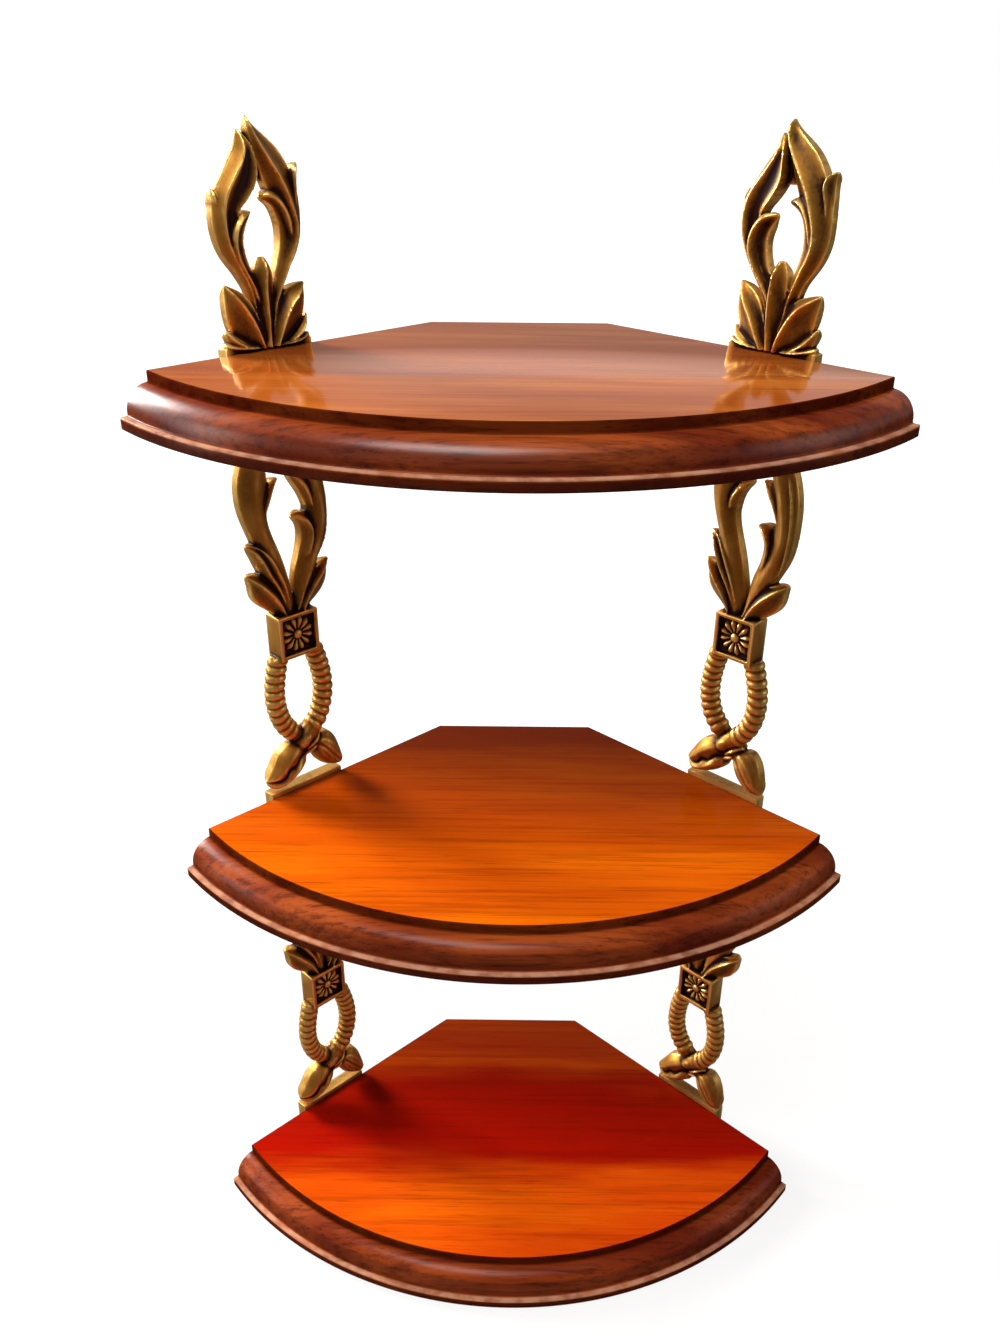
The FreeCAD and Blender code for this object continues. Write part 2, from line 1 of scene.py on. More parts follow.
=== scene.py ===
"""Looks of the corner wall shelf.

Three lacquered boards with a moulded front stand between two cast side panels. Sizes are in
millimetres and become metres when a mesh is made. A side panel is shaped in its own frame,
seen from the room: x to the viewer's right, y from the boards' edges (0) to the wall, z up
from the underside of the bottom board.
"""

import logging
import math
from dataclasses import dataclass
from enum import Enum
from typing import Any, ClassVar, Sequence

import bmesh
import bpy
import numpy as np
from mathutils import Matrix, Vector
from mathutils.kdtree import KDTree


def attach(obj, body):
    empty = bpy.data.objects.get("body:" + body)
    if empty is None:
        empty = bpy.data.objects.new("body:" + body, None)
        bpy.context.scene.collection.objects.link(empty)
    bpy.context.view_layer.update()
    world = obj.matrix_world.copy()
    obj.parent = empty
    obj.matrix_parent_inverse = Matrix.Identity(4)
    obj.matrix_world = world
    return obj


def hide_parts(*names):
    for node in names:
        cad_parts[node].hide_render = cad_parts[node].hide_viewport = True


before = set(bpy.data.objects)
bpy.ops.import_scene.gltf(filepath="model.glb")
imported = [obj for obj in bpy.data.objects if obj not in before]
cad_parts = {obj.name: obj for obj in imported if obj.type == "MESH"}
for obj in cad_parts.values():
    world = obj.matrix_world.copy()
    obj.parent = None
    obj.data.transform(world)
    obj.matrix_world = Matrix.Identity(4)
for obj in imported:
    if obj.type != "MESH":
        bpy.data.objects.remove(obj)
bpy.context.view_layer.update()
LOG = logging.getLogger("corner_shelf")
MM = 0.001
SLOPE = math.sqrt(0.5)
BOARD_PITCH = 195.0
BOARD_THICKNESS = 19.0
PANEL_THICKNESS = 6.0
SCREW_PLACES = (-13.5, 13.5)
PILOT_RADIUS = 1.85
HANGER_SCREWS = {"upper": 413.2, "lower": 394.2}

Colour = tuple[float, float, float]
Triple = tuple[float, float, float]
Box = tuple[Triple, Triple]
Rail = tuple[Triple, ...]
Outline = tuple[tuple[float, float], ...]
WHITE: Colour = (1.0, 1.0, 1.0)


class Named(Enum):
    """Members whose names stand in the nodes' names."""

    @property
    def word(self) -> str:
        """Name used in the nodes."""
        return self.name.lower()


class Side(Named):
    """The wall a panel stands against, as the sign of its X."""

    LEFT = -1
    RIGHT = 1


class Level(Named):
    """The three boards from the floor up."""

    BOTTOM = 0
    MIDDLE = 1
    TOP = 2

    @property
    def foot(self) -> float:
        """Height of the board's underside."""
        return self.value * BOARD_PITCH

    @property
    def face(self) -> float:
        """Height of the board's top face."""
        return self.foot + BOARD_THICKNESS

    @property
    def axis(self) -> float:
        """Height of the screws in the board's edges."""
        return self.foot + BOARD_THICKNESS / 2


class Value:
    """A shader socket whose arithmetic adds Math nodes to its tree."""

    def __init__(self, graph: "Graph", socket: bpy.types.NodeSocket) -> None:
        """Wrap one socket of a graph."""
        self.graph = graph
        self.socket = socket

    def math(self, operation: str, *operands: "Value | float") -> "Value":
        """Add a Math node.

        Args:
            operation: The node's operation.
            operands: Its inputs in order.

        Returns:
            The node's result.
        """
        return self.graph.node("ShaderNodeMath", {"operation": operation}, dict(enumerate(operands)))

    def __add__(self, other: "Value | float") -> "Value":
        """Sum."""
        return self.math("ADD", self, other)

    def __radd__(self, other: float) -> "Value":
        """Sum, number first."""
        return self.math("ADD", other, self)

    def __sub__(self, other: "Value | float") -> "Value":
        """Difference."""
        return self.math("SUBTRACT", self, other)

    def __rsub__(self, other: float) -> "Value":
        """Difference, number first."""
        return self.math("SUBTRACT", other, self)

    def __mul__(self, other: "Value | float") -> "Value":
        """Product."""
        return self.math("MULTIPLY", self, other)

    def __rmul__(self, other: float) -> "Value":
        """Product, number first."""
        return self.math("MULTIPLY", other, self)

    def __truediv__(self, other: "Value | float") -> "Value":
        """Quotient."""
        return self.math("DIVIDE", self, other)

    def __pow__(self, other: "Value | float") -> "Value":
        """Power."""
        return self.math("POWER", self, other)

    def wave(self) -> "Value":
        """Sine, moved into 0 to 1."""
        return self.math("SINE", self) * 0.5 + 0.5

    def larger(self, other: "Value | float") -> "Value":
        """The larger of two values."""
        return self.math("MAXIMUM", self, other)

    def smaller(self, other: "Value | float") -> "Value":
        """The smaller of two values."""
        return self.math("MINIMUM", self, other)

    def reach(self, other: "Value") -> "Value":
        """Length of the line with these two legs."""
        return (self * self + other * other) ** 0.5

    def ease(self, low: float, high: float) -> "Value":
        """A smooth step.

        Args:
            low: Where the step leaves 0.
            high: Where the step reaches 1.

        Returns:
            The step's height, from 0 to 1.
        """
        inputs = {"Value": self, "From Min": low, "From Max": high}
        return self.graph.node("ShaderNodeMapRange", {"interpolation_type": "SMOOTHSTEP"}, inputs)


class Graph:
    """A node tree that expressions fill."""

    def __init__(self, tree: bpy.types.NodeTree) -> None:
        """Start from an empty tree."""
        self.tree = tree
        tree.nodes.clear()

    def node(self, kind: str, settings: dict[str, Any], inputs: dict[int | str, Any],
             output: int | str = 0) -> Value:
        """Add any node.

        Args:
            kind: The node's type.
            settings: Its properties, set first.
            inputs: Values or links by socket.
            output: The socket wanted; a node without outputs gives its first input.

        Returns:
            The wanted socket.
        """
        made = self.tree.nodes.new(kind)
        for name, setting in settings.items():
            setattr(made, name, setting)
        for key, value in inputs.items():
            socket = made.inputs[key]
            if isinstance(value, Value):
                self.tree.links.new(value.socket, socket)
            elif socket.type == "RGBA":
                socket.default_value = (*value, 1.0)
            else:
                socket.default_value = value
        return Value(self, made.outputs[output] if made.outputs else made.inputs[0])

    def place(self, scale: Triple = (1.0, 1.0, 1.0), shift: Triple = (0.0, 0.0, 0.0)) -> Value:
        """Stretched object coordinates.

        Args:
            scale: Factor along each axis.
            shift: What is added after it.

        Returns:
            The coordinates.
        """
        start = self.node("ShaderNodeTexCoord", {}, {}, "Object")
        inputs = {0: start, 1: scale, 2: shift}
        return self.node("ShaderNodeVectorMath", {"operation": "MULTIPLY_ADD"}, inputs)

    def noise(self, place: Value, detail: float = 3.0, roughness: float = 0.5) -> Value:
        """Noise at a place.

        Args:
            place: Coordinates.
            detail: Number of finer layers.
            roughness: Strength of the finer layers.

        Returns:
            A value around 0.5.
        """
        inputs = {"Vector": place, "Scale": 1.0, "Detail": detail, "Roughness": roughness}
        return self.node("ShaderNodeTexNoise", {}, inputs, "Fac")

    def axes(self, place: Value, wanted: str = "XYZ") -> list[Value]:
        """Split coordinates into the wanted axes."""
        return [self.node("ShaderNodeSeparateXYZ", {}, {0: place}, axis) for axis in wanted]

    def ray(self, kind: str) -> Value:
        """1 for rays of one kind, 0 for all others."""
        return self.node("ShaderNodeLightPath", {}, {}, f"Is {kind} Ray")

    def mix(self, share: "Value | float", first: "Value | Colour", second: "Value | Colour") -> Value:
        """Mix two colours.

        Args:
            share: Share of the second colour.
            first: Colour at 0.
            second: Colour at 1.

        Returns:
            The mixed colour.
        """
        return self.node("ShaderNodeMix", {"data_type": "RGBA"}, {0: share, 6: first, 7: second}, 2)

    def bump(self, height: Value, distance: float, strength: float = 1.0) -> Value:
        """Normals of a fine relief.

        Args:
            height: The relief, from 0 to 1.
            distance: Its depth in metres.
            strength: Share of the effect.

        Returns:
            The bent normals.
        """
        return self.node("ShaderNodeBump", {}, {"Height": height, "Distance": distance, "Strength": strength})


@dataclass(frozen=True)
class Finish:
    """A surface finish that makes one material."""

    name: str

    def shade(self, graph: Graph) -> Value:
        """Build the surface shader in a graph."""
        raise NotImplementedError

    def material(self) -> bpy.types.Material:
        """Make the finish's material."""
        made = bpy.data.materials.new(self.name)
        made.use_nodes = True
        graph = Graph(made.node_tree)
        graph.node("ShaderNodeOutputMaterial", {}, {"Surface": self.shade(graph)})
        return made


@dataclass(frozen=True)
class LacqueredWood(Finish):
    """Plain-sawn stained wood under a gloss lacquer, its grain along X, with painted shade in its colour."""

    straw: Colour
    heart: Colour
    # Dark colour of the grain, also laid on as painted shade.
    streak: Colour
    # A dark band across the board, partly the wood's figure and partly painted shade: its colour, place,
    # width and strength.
    band: Colour
    shift: Triple
    band_place: float
    band_width: float
    band_strength: float
    gloss: float
    coat_roughness: float
    # Share of painted shade towards the back edge, where the board above shades the wood.
    back_shade: float = 0.0
    grain: float = 0.6
    ring_strength: float = 0.5
    pith_depth: float = 0.06
    ring_spacing: float = 0.009

    def rings(self, graph: Graph) -> Value:
        """Growth rings round a pith line that wanders under the board."""
        x, y, z = graph.axes(graph.place(shift=self.shift))
        wander = graph.noise(graph.place((3.2, 5.0, 5.0), self.shift), detail=2.0) - 0.5
        across = y + wander * 0.05
        below = z * 0.3 + self.pith_depth
        distance = across.reach(below) + x * 0.05
        ripple = graph.noise(graph.place((14.0, 70.0, 70.0), self.shift), detail=2.0)
        return (distance * (math.tau / self.ring_spacing) + ripple * 2.2).wave()

    def wear_and_shade(self, graph: Graph, colour: Value) -> Value:
        """Change the stain by use and lay painted shade on it; flat faces keep it."""
        return colour

    def coat(self, graph: Graph) -> "Value | float":
        """Share of the lacquer; flat faces have it even."""
        return self.gloss

    def shade(self, graph: Graph) -> Value:
        """Build the wood's shader.

        Args:
            graph: The graph to build in.

        Returns:
            The shader.
        """
        broad = graph.noise(graph.place((5.0, 42.0, 42.0), self.shift), detail=4.0, roughness=0.55)
        fibre = graph.noise(graph.place((12.0, 420.0, 420.0), self.shift), detail=4.0, roughness=0.6)
        pores = graph.noise(graph.place((55.0, 1500.0, 1500.0), self.shift), detail=2.0)
        rings = self.rings(graph)
        colour = graph.mix(broad.ease(0.30, 0.72), self.heart, self.straw)
        colour = graph.mix(rings.ease(0.45, 1.0) * self.ring_strength, colour, self.heart)
        y = graph.axes(graph.place(), "Y")[0]
        # Painted shade, partly the wood's figure: a dark band across the board.
        edge = graph.noise(graph.place((7.0, 34.0, 34.0), self.shift), detail=3.0) - 0.5
        off = (y + edge * 0.06 - self.band_place) / self.band_width
        band = (1.0 - (off * off).ease(0.25, 1.0)) * self.band_strength
        colour = graph.mix(band, colour, self.band)
        # Painted shade: darker towards the back edge.
        colour = graph.mix(y.ease(-0.045, 0.085) * self.back_shade, colour, self.streak)
        dark = (1.0 - fibre.ease(0.30, 0.56)) * 0.55 + (1.0 - pores.ease(0.30, 0.42)) * 0.45
        colour = graph.mix(dark.smaller(0.8) * self.grain, colour, self.streak)
        relief = fibre * 0.6 + pores.ease(0.28, 0.45) * 0.4
        return graph.node("ShaderNodeBsdfPrincipled", {}, {
            "Base Color": self.wear_and_shade(graph, colour), "Roughness": 0.62 - fibre * 0.2,
            "Specular IOR Level": 0.0,
            "Coat Weight": self.coat(graph), "Coat Roughness": self.coat_roughness, "Coat IOR": 1.5,
            "Normal": graph.bump(relief, 0.00012, 0.5)})


@dataclass(frozen=True)
class MouldingStain(LacqueredWood):
    """Stain on a moulding, with painted shade in its corners, rubbed pale along its ledge."""

    foot: float = 0.0
    centre: float = 0.09275
    quirk: float = 0.1675
    ledge: float = 0.1770
    lip: float = 0.1800
    ledge_height: float = 0.0045
    line: float = 0.0012
    rubbed: Colour = (0.68, 0.35, 0.21)

    def measure(self, graph: Graph) -> tuple[Value, Value]:
        """Reach from the front's centre and height above the underside, in metres."""
        x, y, height = graph.axes(graph.place(shift=(0.0, -self.centre, -self.foot)))
        return x.reach(y), height

    def wear_and_shade(self, graph: Graph, colour: Value) -> Value:
        """Paint shade into the corners, rub the ledge's arris pale and darken the fillet's face towards its
        foot.

        Args:
            graph: The graph to build in.
            colour: The stain so far.

        Returns:
            The worn stain.
        """
        reach, height = self.measure(graph)
        patch = graph.noise(graph.place((160.0, 160.0, 300.0)), detail=3.0)
        # Painted shade in the quirk and along the inner corners by the ledge.
        corners = (1.0 - reach.ease(self.quirk + 0.0002, self.quirk + 0.0014)) * 0.7
        for inner in (self.ledge - self.line, self.ledge):
            near = reach.ease(inner - self.line, inner) * (1.0 - reach.ease(inner, inner + self.line))
            corners = corners + near * 0.4
        colour = graph.mix(corners.smaller(0.92), colour, self.streak)
        off = (height - self.ledge_height) / 0.0008
        rub = reach.ease(self.ledge + 0.0002, self.ledge + self.line) * (1.0 - (off * off).ease(0.3, 1.0))
        colour = graph.mix(rub * (0.30 + patch.ease(0.30, 0.66) * 0.45), colour, self.rubbed)
        # Darker towards the foot of the fillet's face.
        face = reach.ease(self.lip - 0.0006, self.lip - 0.0002) * (1.0 - height.ease(0.0030, 0.0040))
        return graph.mix(face * 0.75, colour, self.streak)

    def coat(self, graph: Graph) -> Value:
        """Lacquer on the ovolo, little of it left on the fillet."""
        reach, _ = self.measure(graph)
        quirk = reach.ease(self.quirk + 0.0002, self.quirk + 0.0020)
        return self.gloss * quirk * (1.0 - reach.ease(self.ledge - 0.0005, self.ledge + 0.0005) * 0.7)


@dataclass(frozen=True)
class AntiqueGold(Finish):
    """Gilt casting with a dark red-brown glaze wiped back from its high places."""

    glaze: Colour = (0.016, 0.002, 0.001)
    gilt: Colour = (0.42, 0.185, 0.026)
    rubbed: Colour = (0.95, 0.62, 0.19)

    def shade(self, graph: Graph) -> Value:
        """Build the gilt's shader.

        Args:
            graph: The graph to build in.

        Returns:
            The shader.
        """
        relief = graph.node("ShaderNodeAttribute", {"attribute_name": "relief"}, {}, "Fac")
        crest = graph.node("ShaderNodeAttribute", {"attribute_name": "crest"}, {}, "Fac")
        cloud = graph.noise(graph.place((90.0, 90.0, 70.0)), detail=4.0, roughness=0.6)
        grit = graph.noise(graph.place((900.0, 900.0, 700.0)), detail=3.0, roughness=0.65)
        brushed = graph.noise(graph.place((700.0, 700.0, 90.0)), detail=2.0)
        height = relief + (cloud - 0.5) * 0.30 + (grit - 0.5) * 0.16
        colour = graph.mix(height.ease(0.31, 0.70), self.glaze, self.gilt)
        worn = (crest + (cloud - 0.5) * 0.35 + (brushed - 0.5) * 0.25).ease(0.55, 1.00)
        colour = graph.mix(worn, colour, self.rubbed)
        rough = 0.46 - worn * 0.12 + (grit - 0.5) * 0.16
        metal = height.ease(0.18, 0.66) * 0.62 + worn * 0.15
        return graph.node("ShaderNodeBsdfPrincipled", {}, {
            "Base Color": colour, "Roughness": rough, "Metallic": metal, "Specular IOR Level": 0.15,
            "Normal": graph.bump(grit * 0.6 + brushed * 0.4, 0.00010, 0.5)})


@dataclass(frozen=True)
class ZincSteel(Finish):
    """Zinc-plated steel with a faint spangle."""

    bright: Colour = (0.17, 0.17, 0.165)
    dull: Colour = (0.075, 0.08, 0.085)

    def shade(self, graph: Graph) -> Value:
        """Build the plated steel's shader."""
        spangle = graph.noise(graph.place((420.0, 420.0, 420.0)), detail=2.0)
        colour = graph.mix(spangle.ease(0.3, 0.7), self.dull, self.bright)
        return graph.node("ShaderNodeBsdfPrincipled", {}, {
            "Base Color": colour, "Metallic": 1.0, "Roughness": 0.48 + spangle * 0.2,
            "Normal": graph.bump(spangle, 0.00002, 0.4)})


@dataclass(frozen=True)
class StudioPaper(Finish):
    """Pale paper that the camera sees as white where no shadow falls on it."""

    tone: Colour = (0.52, 0.52, 0.52)
    mirrored: Colour = (0.15, 0.13, 0.11)
    light: float = 1.3
    glow: float = 0.62
    near: float = 0.22
    far: float = 0.60

    def shade(self, graph: Graph) -> Value:
        """Build the paper's shader: plain paper under the shelf, white away from it."""
        tone = graph.mix(graph.ray("Glossy"), self.tone, self.mirrored)
        paper = graph.node("ShaderNodeBsdfDiffuse", {}, {"Color": tone})
        light = graph.node("ShaderNodeEmission", {}, {"Color": WHITE, "Strength": self.light})
        x, y = graph.axes(graph.place(), "XY")
        white = self.glow + (1.0 - self.glow) * x.reach(y).ease(self.near, self.far)
        return graph.node("ShaderNodeMixShader", {}, {0: graph.ray("Camera") * white, 1: paper, 2: light})


class Shell:
    """Closed skins that become one mesh, in millimetres."""

    def __init__(self) -> None:
        """Start with no skin."""
        self.points: list[np.ndarray] = []
        self.faces: list[tuple[int, ...]] = []
        self.count = 0

    def add(self, points: np.ndarray, faces: Sequence[Sequence[int]]) -> None:
        """Add points and the faces between them."""
        self.faces += [tuple(index + self.count for index in face) for face in faces]
        self.points.append(np.asarray(points, float))
        self.count += len(points)

    def loft(self, sections: np.ndarray) -> None:
        """Skin a row of closed sections and cap both ends.

        Args:
            sections: Points by row and place round the row.
        """
        rows, around, _ = sections.shape
        faces = [(row * around + k, row * around + (k + 1) % around,
                  (row + 1) * around + (k + 1) % around, (row + 1) * around + k)
                 for row in range(rows - 1) for k in range(around)]
        faces += [tuple(reversed(range(around))), tuple((rows - 1) * around + k for k in range(around))]
        self.add(sections.reshape(-1, 3), faces)

    def block(self, low: Triple, high: Triple) -> None:
        """Add a square-edged block between two corners."""
        ring = [(low[0], low[1]), (high[0], low[1]), (high[0], high[1]), (low[0], high[1])]
        self.loft(np.array([[(x, y, z) for x, y in ring] for z in (low[2], high[2])]))

    def turned(self, centre: Triple, profile: Sequence[tuple[float, float]], sides: int = 32) -> None:
        """Add a turned form whose axis runs along y.

        Args:
            centre: Where the axis meets y = 0 and the form's height.
            profile: Radius and y of each ring.
            sides: Points round a ring.
        """
        turn = np.linspace(0, math.tau, sides, endpoint=False)
        x, y, z = centre
        rings = [np.column_stack((x + radius * np.cos(turn), np.full(sides, y + depth),
                                  z + radius * np.sin(turn))) for radius, depth in profile]
        self.loft(np.array(rings))

    def mesh(self, name: str) -> bpy.types.Mesh:
        """Make the mesh, in metres, with its faces turned outwards."""
        made = bpy.data.meshes.new(name)
        made.from_pydata((np.vstack(self.points) * MM).tolist(), [], self.faces)
        work = bmesh.new()
        work.from_mesh(made)
        bmesh.ops.recalc_face_normals(work, faces=work.faces)
        work.to_mesh(made)
        work.free()
        return made


def put(name: str, data: bpy.types.ID, matrix: Matrix | None = None) -> bpy.types.Object:
    """Put a mesh, a lamp or a camera into the scene.

    Args:
        name: The object's name.
        data: Its mesh, light or lens.
        matrix: Its place, the origin if left out.

    Returns:
        The object.
    """
    made = bpy.data.objects.new(name, data)
    bpy.context.scene.collection.objects.link(made)
    if matrix is not None:
        made.matrix_world = matrix
    return made


def worked(obj: bpy.types.Object, kind: str, **settings: Any) -> bpy.types.Object:
    """Work a modifier into an object's mesh.

    Args:
        obj: The object.
        kind: The modifier's type.
        settings: Its properties.

    Returns:
        The same object.
    """
    modifier = obj.modifiers.new(kind.lower(), kind)
    for name, setting in settings.items():
        setattr(modifier, name, setting)
    graph = bpy.context.evaluated_depsgraph_get()
    graph.update()
    fresh = bpy.data.meshes.new_from_object(obj.evaluated_get(graph))
    obj.modifiers.clear()
    stale, obj.data = obj.data, fresh
    fresh.name = stale.name
    bpy.data.meshes.remove(stale)
    return obj


def cut_away(obj: bpy.types.Object, *shells: Shell) -> None:
    """Cut shells out of an object, one after the other."""
    for shell in shells:
        tool = put("cutter", shell.mesh("cutter"))
        worked(obj, "BOOLEAN", operation="DIFFERENCE", object=tool, solver="EXACT")
        bpy.data.meshes.remove(tool.data)


def dressed(mesh: bpy.types.Mesh, sharp: float, *finishes: bpy.types.Material) -> bpy.types.Mesh:
    """Give a mesh its finishes and a smooth surface.

    Args:
        mesh: The mesh.
        sharp: Angle in degrees from which an edge stays sharp.
        finishes: Its materials in order.

    Returns:
        The same mesh.
    """
    mesh.materials.clear()
    for finish in finishes:
        mesh.materials.append(finish)
    mesh.shade_smooth()
    mesh.set_sharp_from_angle(angle=math.radians(sharp))
    return mesh


def positions(mesh: bpy.types.Mesh) -> np.ndarray:
    """Points of a mesh, in metres."""
    found = np.empty(len(mesh.vertices) * 3)
    mesh.vertices.foreach_get("co", found)
    return found.reshape(-1, 3)


def spline(stations: Sequence[Sequence[float]], count: int) -> np.ndarray:
    """Run a natural cubic spline through stations.

    Args:
        stations: Rows of numbers, the first two of them a place in the plane.
        count: Number of rows wanted.

    Returns:
        Evenly spaced rows along the spline.
    """
    rows = np.asarray(stations, float)
    step = np.maximum(np.hypot(*np.diff(rows[:, :2], axis=0).T), 1e-6)
    knots = np.concatenate(([0.0], np.cumsum(step)))
    size = len(rows)
    system, slopes = np.eye(size), np.zeros_like(rows)
    for k in range(1, size - 1):
        system[k, k - 1:k + 2] = step[k - 1], 2 * (step[k - 1] + step[k]), step[k]
        slopes[k] = 6 * ((rows[k + 1] - rows[k]) / step[k] - (rows[k] - rows[k - 1]) / step[k - 1])
    bend = np.linalg.solve(system, slopes)
    at = np.linspace(0, knots[-1], count)
    k = np.clip(np.searchsorted(knots, at, side="right") - 1, 0, size - 2)
    width = step[k][:, None]
    right = (at - knots[k])[:, None] / width
    left = 1 - right
    return (left * rows[k] + right * rows[k + 1]
            + ((left ** 3 - left) * bend[k] + (right ** 3 - right) * bend[k + 1]) * width ** 2 / 6)


def panel_matrix(side: Side) -> Matrix:
    """Place of a side panel's frame in the shelf."""
    back_half, back, setback = 37.5, 87.25, 82.0
    corner = Vector((side.value * (back_half + setback * SLOPE), back - setback * SLOPE, 0.0)) * MM
    return Matrix.Translation(corner) @ Matrix.Rotation(math.radians(-45.0 * side.value), 4, "Z")


@dataclass
class Board:
    """One board: round front with a quirked ovolo and fillet, straight edges to the walls."""

    level: Level
    face_finish: bpy.types.Material
    edge_finish: bpy.types.Material
    back_width: float = 75.0
    depth: float = 174.5
    radius: float = 180.0
    quirk: float = 4.0
    ovolo: float = 9.5
    fillet: float = 4.5
    fillet_lip: float = 3.0
    arris: float = 0.55
    steps: int = 96
    bore_depth: float = 24.1
    smallest_face: float = 0.003

    def profile(self) -> list[tuple[float, float]]:
        """Front profile from the top arris down, as radius and height."""
        top = self.radius - self.fillet_lip - self.ovolo
        shoulder = BOARD_THICKNESS - self.quirk
        sweep = [(top + self.ovolo * math.sin(turn), shoulder - self.ovolo * (1 - math.cos(turn)))
                 for turn in np.linspace(0, math.pi / 2, 15)]
        return [(top, BOARD_THICKNESS), *sweep, (self.radius - self.fillet_lip, self.fillet),
                (self.radius, self.fillet), (self.radius, 0.0)]

    def shell(self) -> Shell:
        """The board's skin, its front stepped round the arc between the straight edges."""
        centre = self.radius - self.depth / 2
        half, back = self.back_width / 2, self.depth / 2
        lead = half + back - centre
        rings = []
        for radius, height in self.profile():
            reach = math.pi / 4 + math.asin(lead / (math.sqrt(2) * radius))
            turn = np.linspace(-reach, reach, self.steps + 1)
            rings.append(np.column_stack((radius * np.sin(turn), centre - radius * np.cos(turn),
                                          np.full(len(turn), height))))
        rows, wide = len(rings), self.steps + 1
        ends = ((-half, BOARD_THICKNESS), (half, BOARD_THICKNESS), (half, 0), (-half, 0))
        points = np.vstack((*rings, [(x, back, height) for x, height in ends]))
        first, last = rows * wide, (rows - 1) * wide
        faces = [(r * wide + k, r * wide + k + 1, (r + 1) * wide + k + 1, (r + 1) * wide + k)
                 for r in range(rows - 1) for k in range(self.steps)]
        faces += [(*range(wide), first + 1, first),
                  (*range(last + wide - 1, last - 1, -1), first + 3, first + 2),
                  (*range(0, first, wide), first + 3, first),
                  (*range(last + self.steps, 0, -wide), first + 1, first + 2),
                  (first, first + 1, first + 2, first + 3)]
        skin = Shell()
        skin.add(points + (0, 0, self.level.foot), faces)
        return skin

    def bores(self) -> Shell:
        """Pilot bores of the screws in the straight edges."""
        holes = Shell()
        for side in Side:
            matrix = panel_matrix(side)
            for along in SCREW_PLACES:
                hole = Shell()
                hole.turned((along, 0.0, self.level.axis),
                            ((PILOT_RADIUS, 2.0), (PILOT_RADIUS, -self.bore_depth)), 24)
                placed = [matrix @ Vector(point * MM) / MM for point in hole.points[0]]
                holes.add(np.array(placed), hole.faces)
        return holes

    def build(self) -> bpy.types.Object:
        """Build and dress the board."""
        name = f"{self.level.word}_shelf_board"
        obj = put(name, self.shell().mesh(name))
        worked(obj, "BEVEL", width=self.arris * MM, segments=3, limit_method="ANGLE",
               angle_limit=math.radians(35), harden_normals=False)
        cut_away(obj, self.bores())
        self.dress(obj)
        node = f"{self.level.word}_board"
        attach(obj, "root")
        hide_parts(node)
        return obj

    def dress(self, obj: bpy.types.Object) -> None:
        """Lacquer on the flat faces, stain on the moulding and the edges."""
        for polygon in dressed(obj.data, 40, self.face_finish, self.edge_finish).polygons:
            flat = abs(polygon.normal.z) > 0.9 and polygon.area > self.smallest_face
            polygon.material_index = 0 if flat else 1


@dataclass(frozen=True)
class Leaf:
    """A leaf of the casting between two edges, with a crest line on its face.

    A rail is a row of x, height above the board and depth. A positive hollow sinks the slope
    beside the crest line, a negative one swells it, and slopes under full_span bend less.
    """

    left: Rail
    crest: Rail
    right: Rail
    left_hollow: float = 0.4
    right_hollow: float = 0.4
    ripple: float = 0.0
    back: float = PANEL_THICKNESS
    rows: int = 44
    across: int = 9
    round_back: float = 1.2
    most_tuck: float = 0.35
    full_span: float = 3.5
    tip_share: float = 0.16
    tip_depth: float = 0.8

    def sections(self, base: float) -> np.ndarray:
        """Closed sections along the leaf.

        Args:
            base: Height that the rails are measured from.

        Returns:
            Points by row and place round the row.
        """
        left, crest, right = (spline(rail, self.rows) for rail in (self.left, self.crest, self.right))
        taper = np.clip((np.linspace(0, 1, self.rows) - 1) / self.tip_share + 1, 0, 1) ** 2
        room = self.back - np.maximum(left[:, 2], right[:, 2]) - self.tip_depth
        wall = self.back - taper * np.maximum(room, 0.0)
        share = np.linspace(0, 1, self.across + 1)
        halves = []
        for edge, hollow in ((left, self.left_hollow), (right, self.right_hollow)):
            span = np.maximum(np.linalg.norm((crest - edge)[:, :2], axis=1), 1e-3)
            slope = edge[:, None] + (crest - edge)[:, None] * share[:, None]
            sag = hollow * 4 * share * (1 - share) + self.ripple * np.cos(share * 3 * math.tau)
            slope[..., 2] += sag * np.minimum(1.0, span / self.full_span)[:, None]
            foot = np.column_stack((edge[:, :2], np.maximum(wall - self.round_back, edge[:, 2] + 0.1)))
            tuck = np.minimum(self.round_back / span, self.most_tuck)[:, None]
            heel = np.column_stack((edge[:, :2] + (crest - edge)[:, :2] * tuck, wall))
            halves.append(np.concatenate((heel[:, None], foot[:, None], slope), axis=1))
        ring = np.concatenate((halves[0], halves[1][:, -2::-1]), axis=1)
        return np.stack((ring[..., 0], ring[..., 2], base + ring[..., 1]), axis=-1)


@dataclass(frozen=True)
class RingedStrand:
    """A round strand with closely set rings, or a smooth one without grooves."""

    spine: Rail
    radius: float = 4.65
    groove: float = 1.35
    rings: int = 11
    slant: float = 0.12
    samples: int = 10
    around: int = 30

    def sections(self, base: float) -> np.ndarray:
        """Closed sections along the strand.

        Args:
            base: Height that the spine is measured from.

        Returns:
            Points by row and place round the row.
        """
        x, height, depth = spline(self.spine, self.rings * self.samples + 1).T
        along = np.gradient(np.column_stack((x, height)), axis=0)
        along /= np.linalg.norm(along, axis=1)[:, None]
        turn = np.linspace(0, math.tau, self.around, endpoint=False)
        phase = np.linspace(0, self.rings, len(x))[:, None] + self.slant * np.cos(turn)
        swell = np.sqrt(np.maximum(0.0, 1 - (2 * (phase % 1.0) - 1) ** 2))
        radius = self.radius - self.groove * (1 - swell)
        reach = radius * np.cos(turn)
        return np.dstack((x[:, None] + along[:, 1:] * reach, depth[:, None] + radius * np.sin(turn),
                          base + height[:, None] - along[:, :1] * reach))


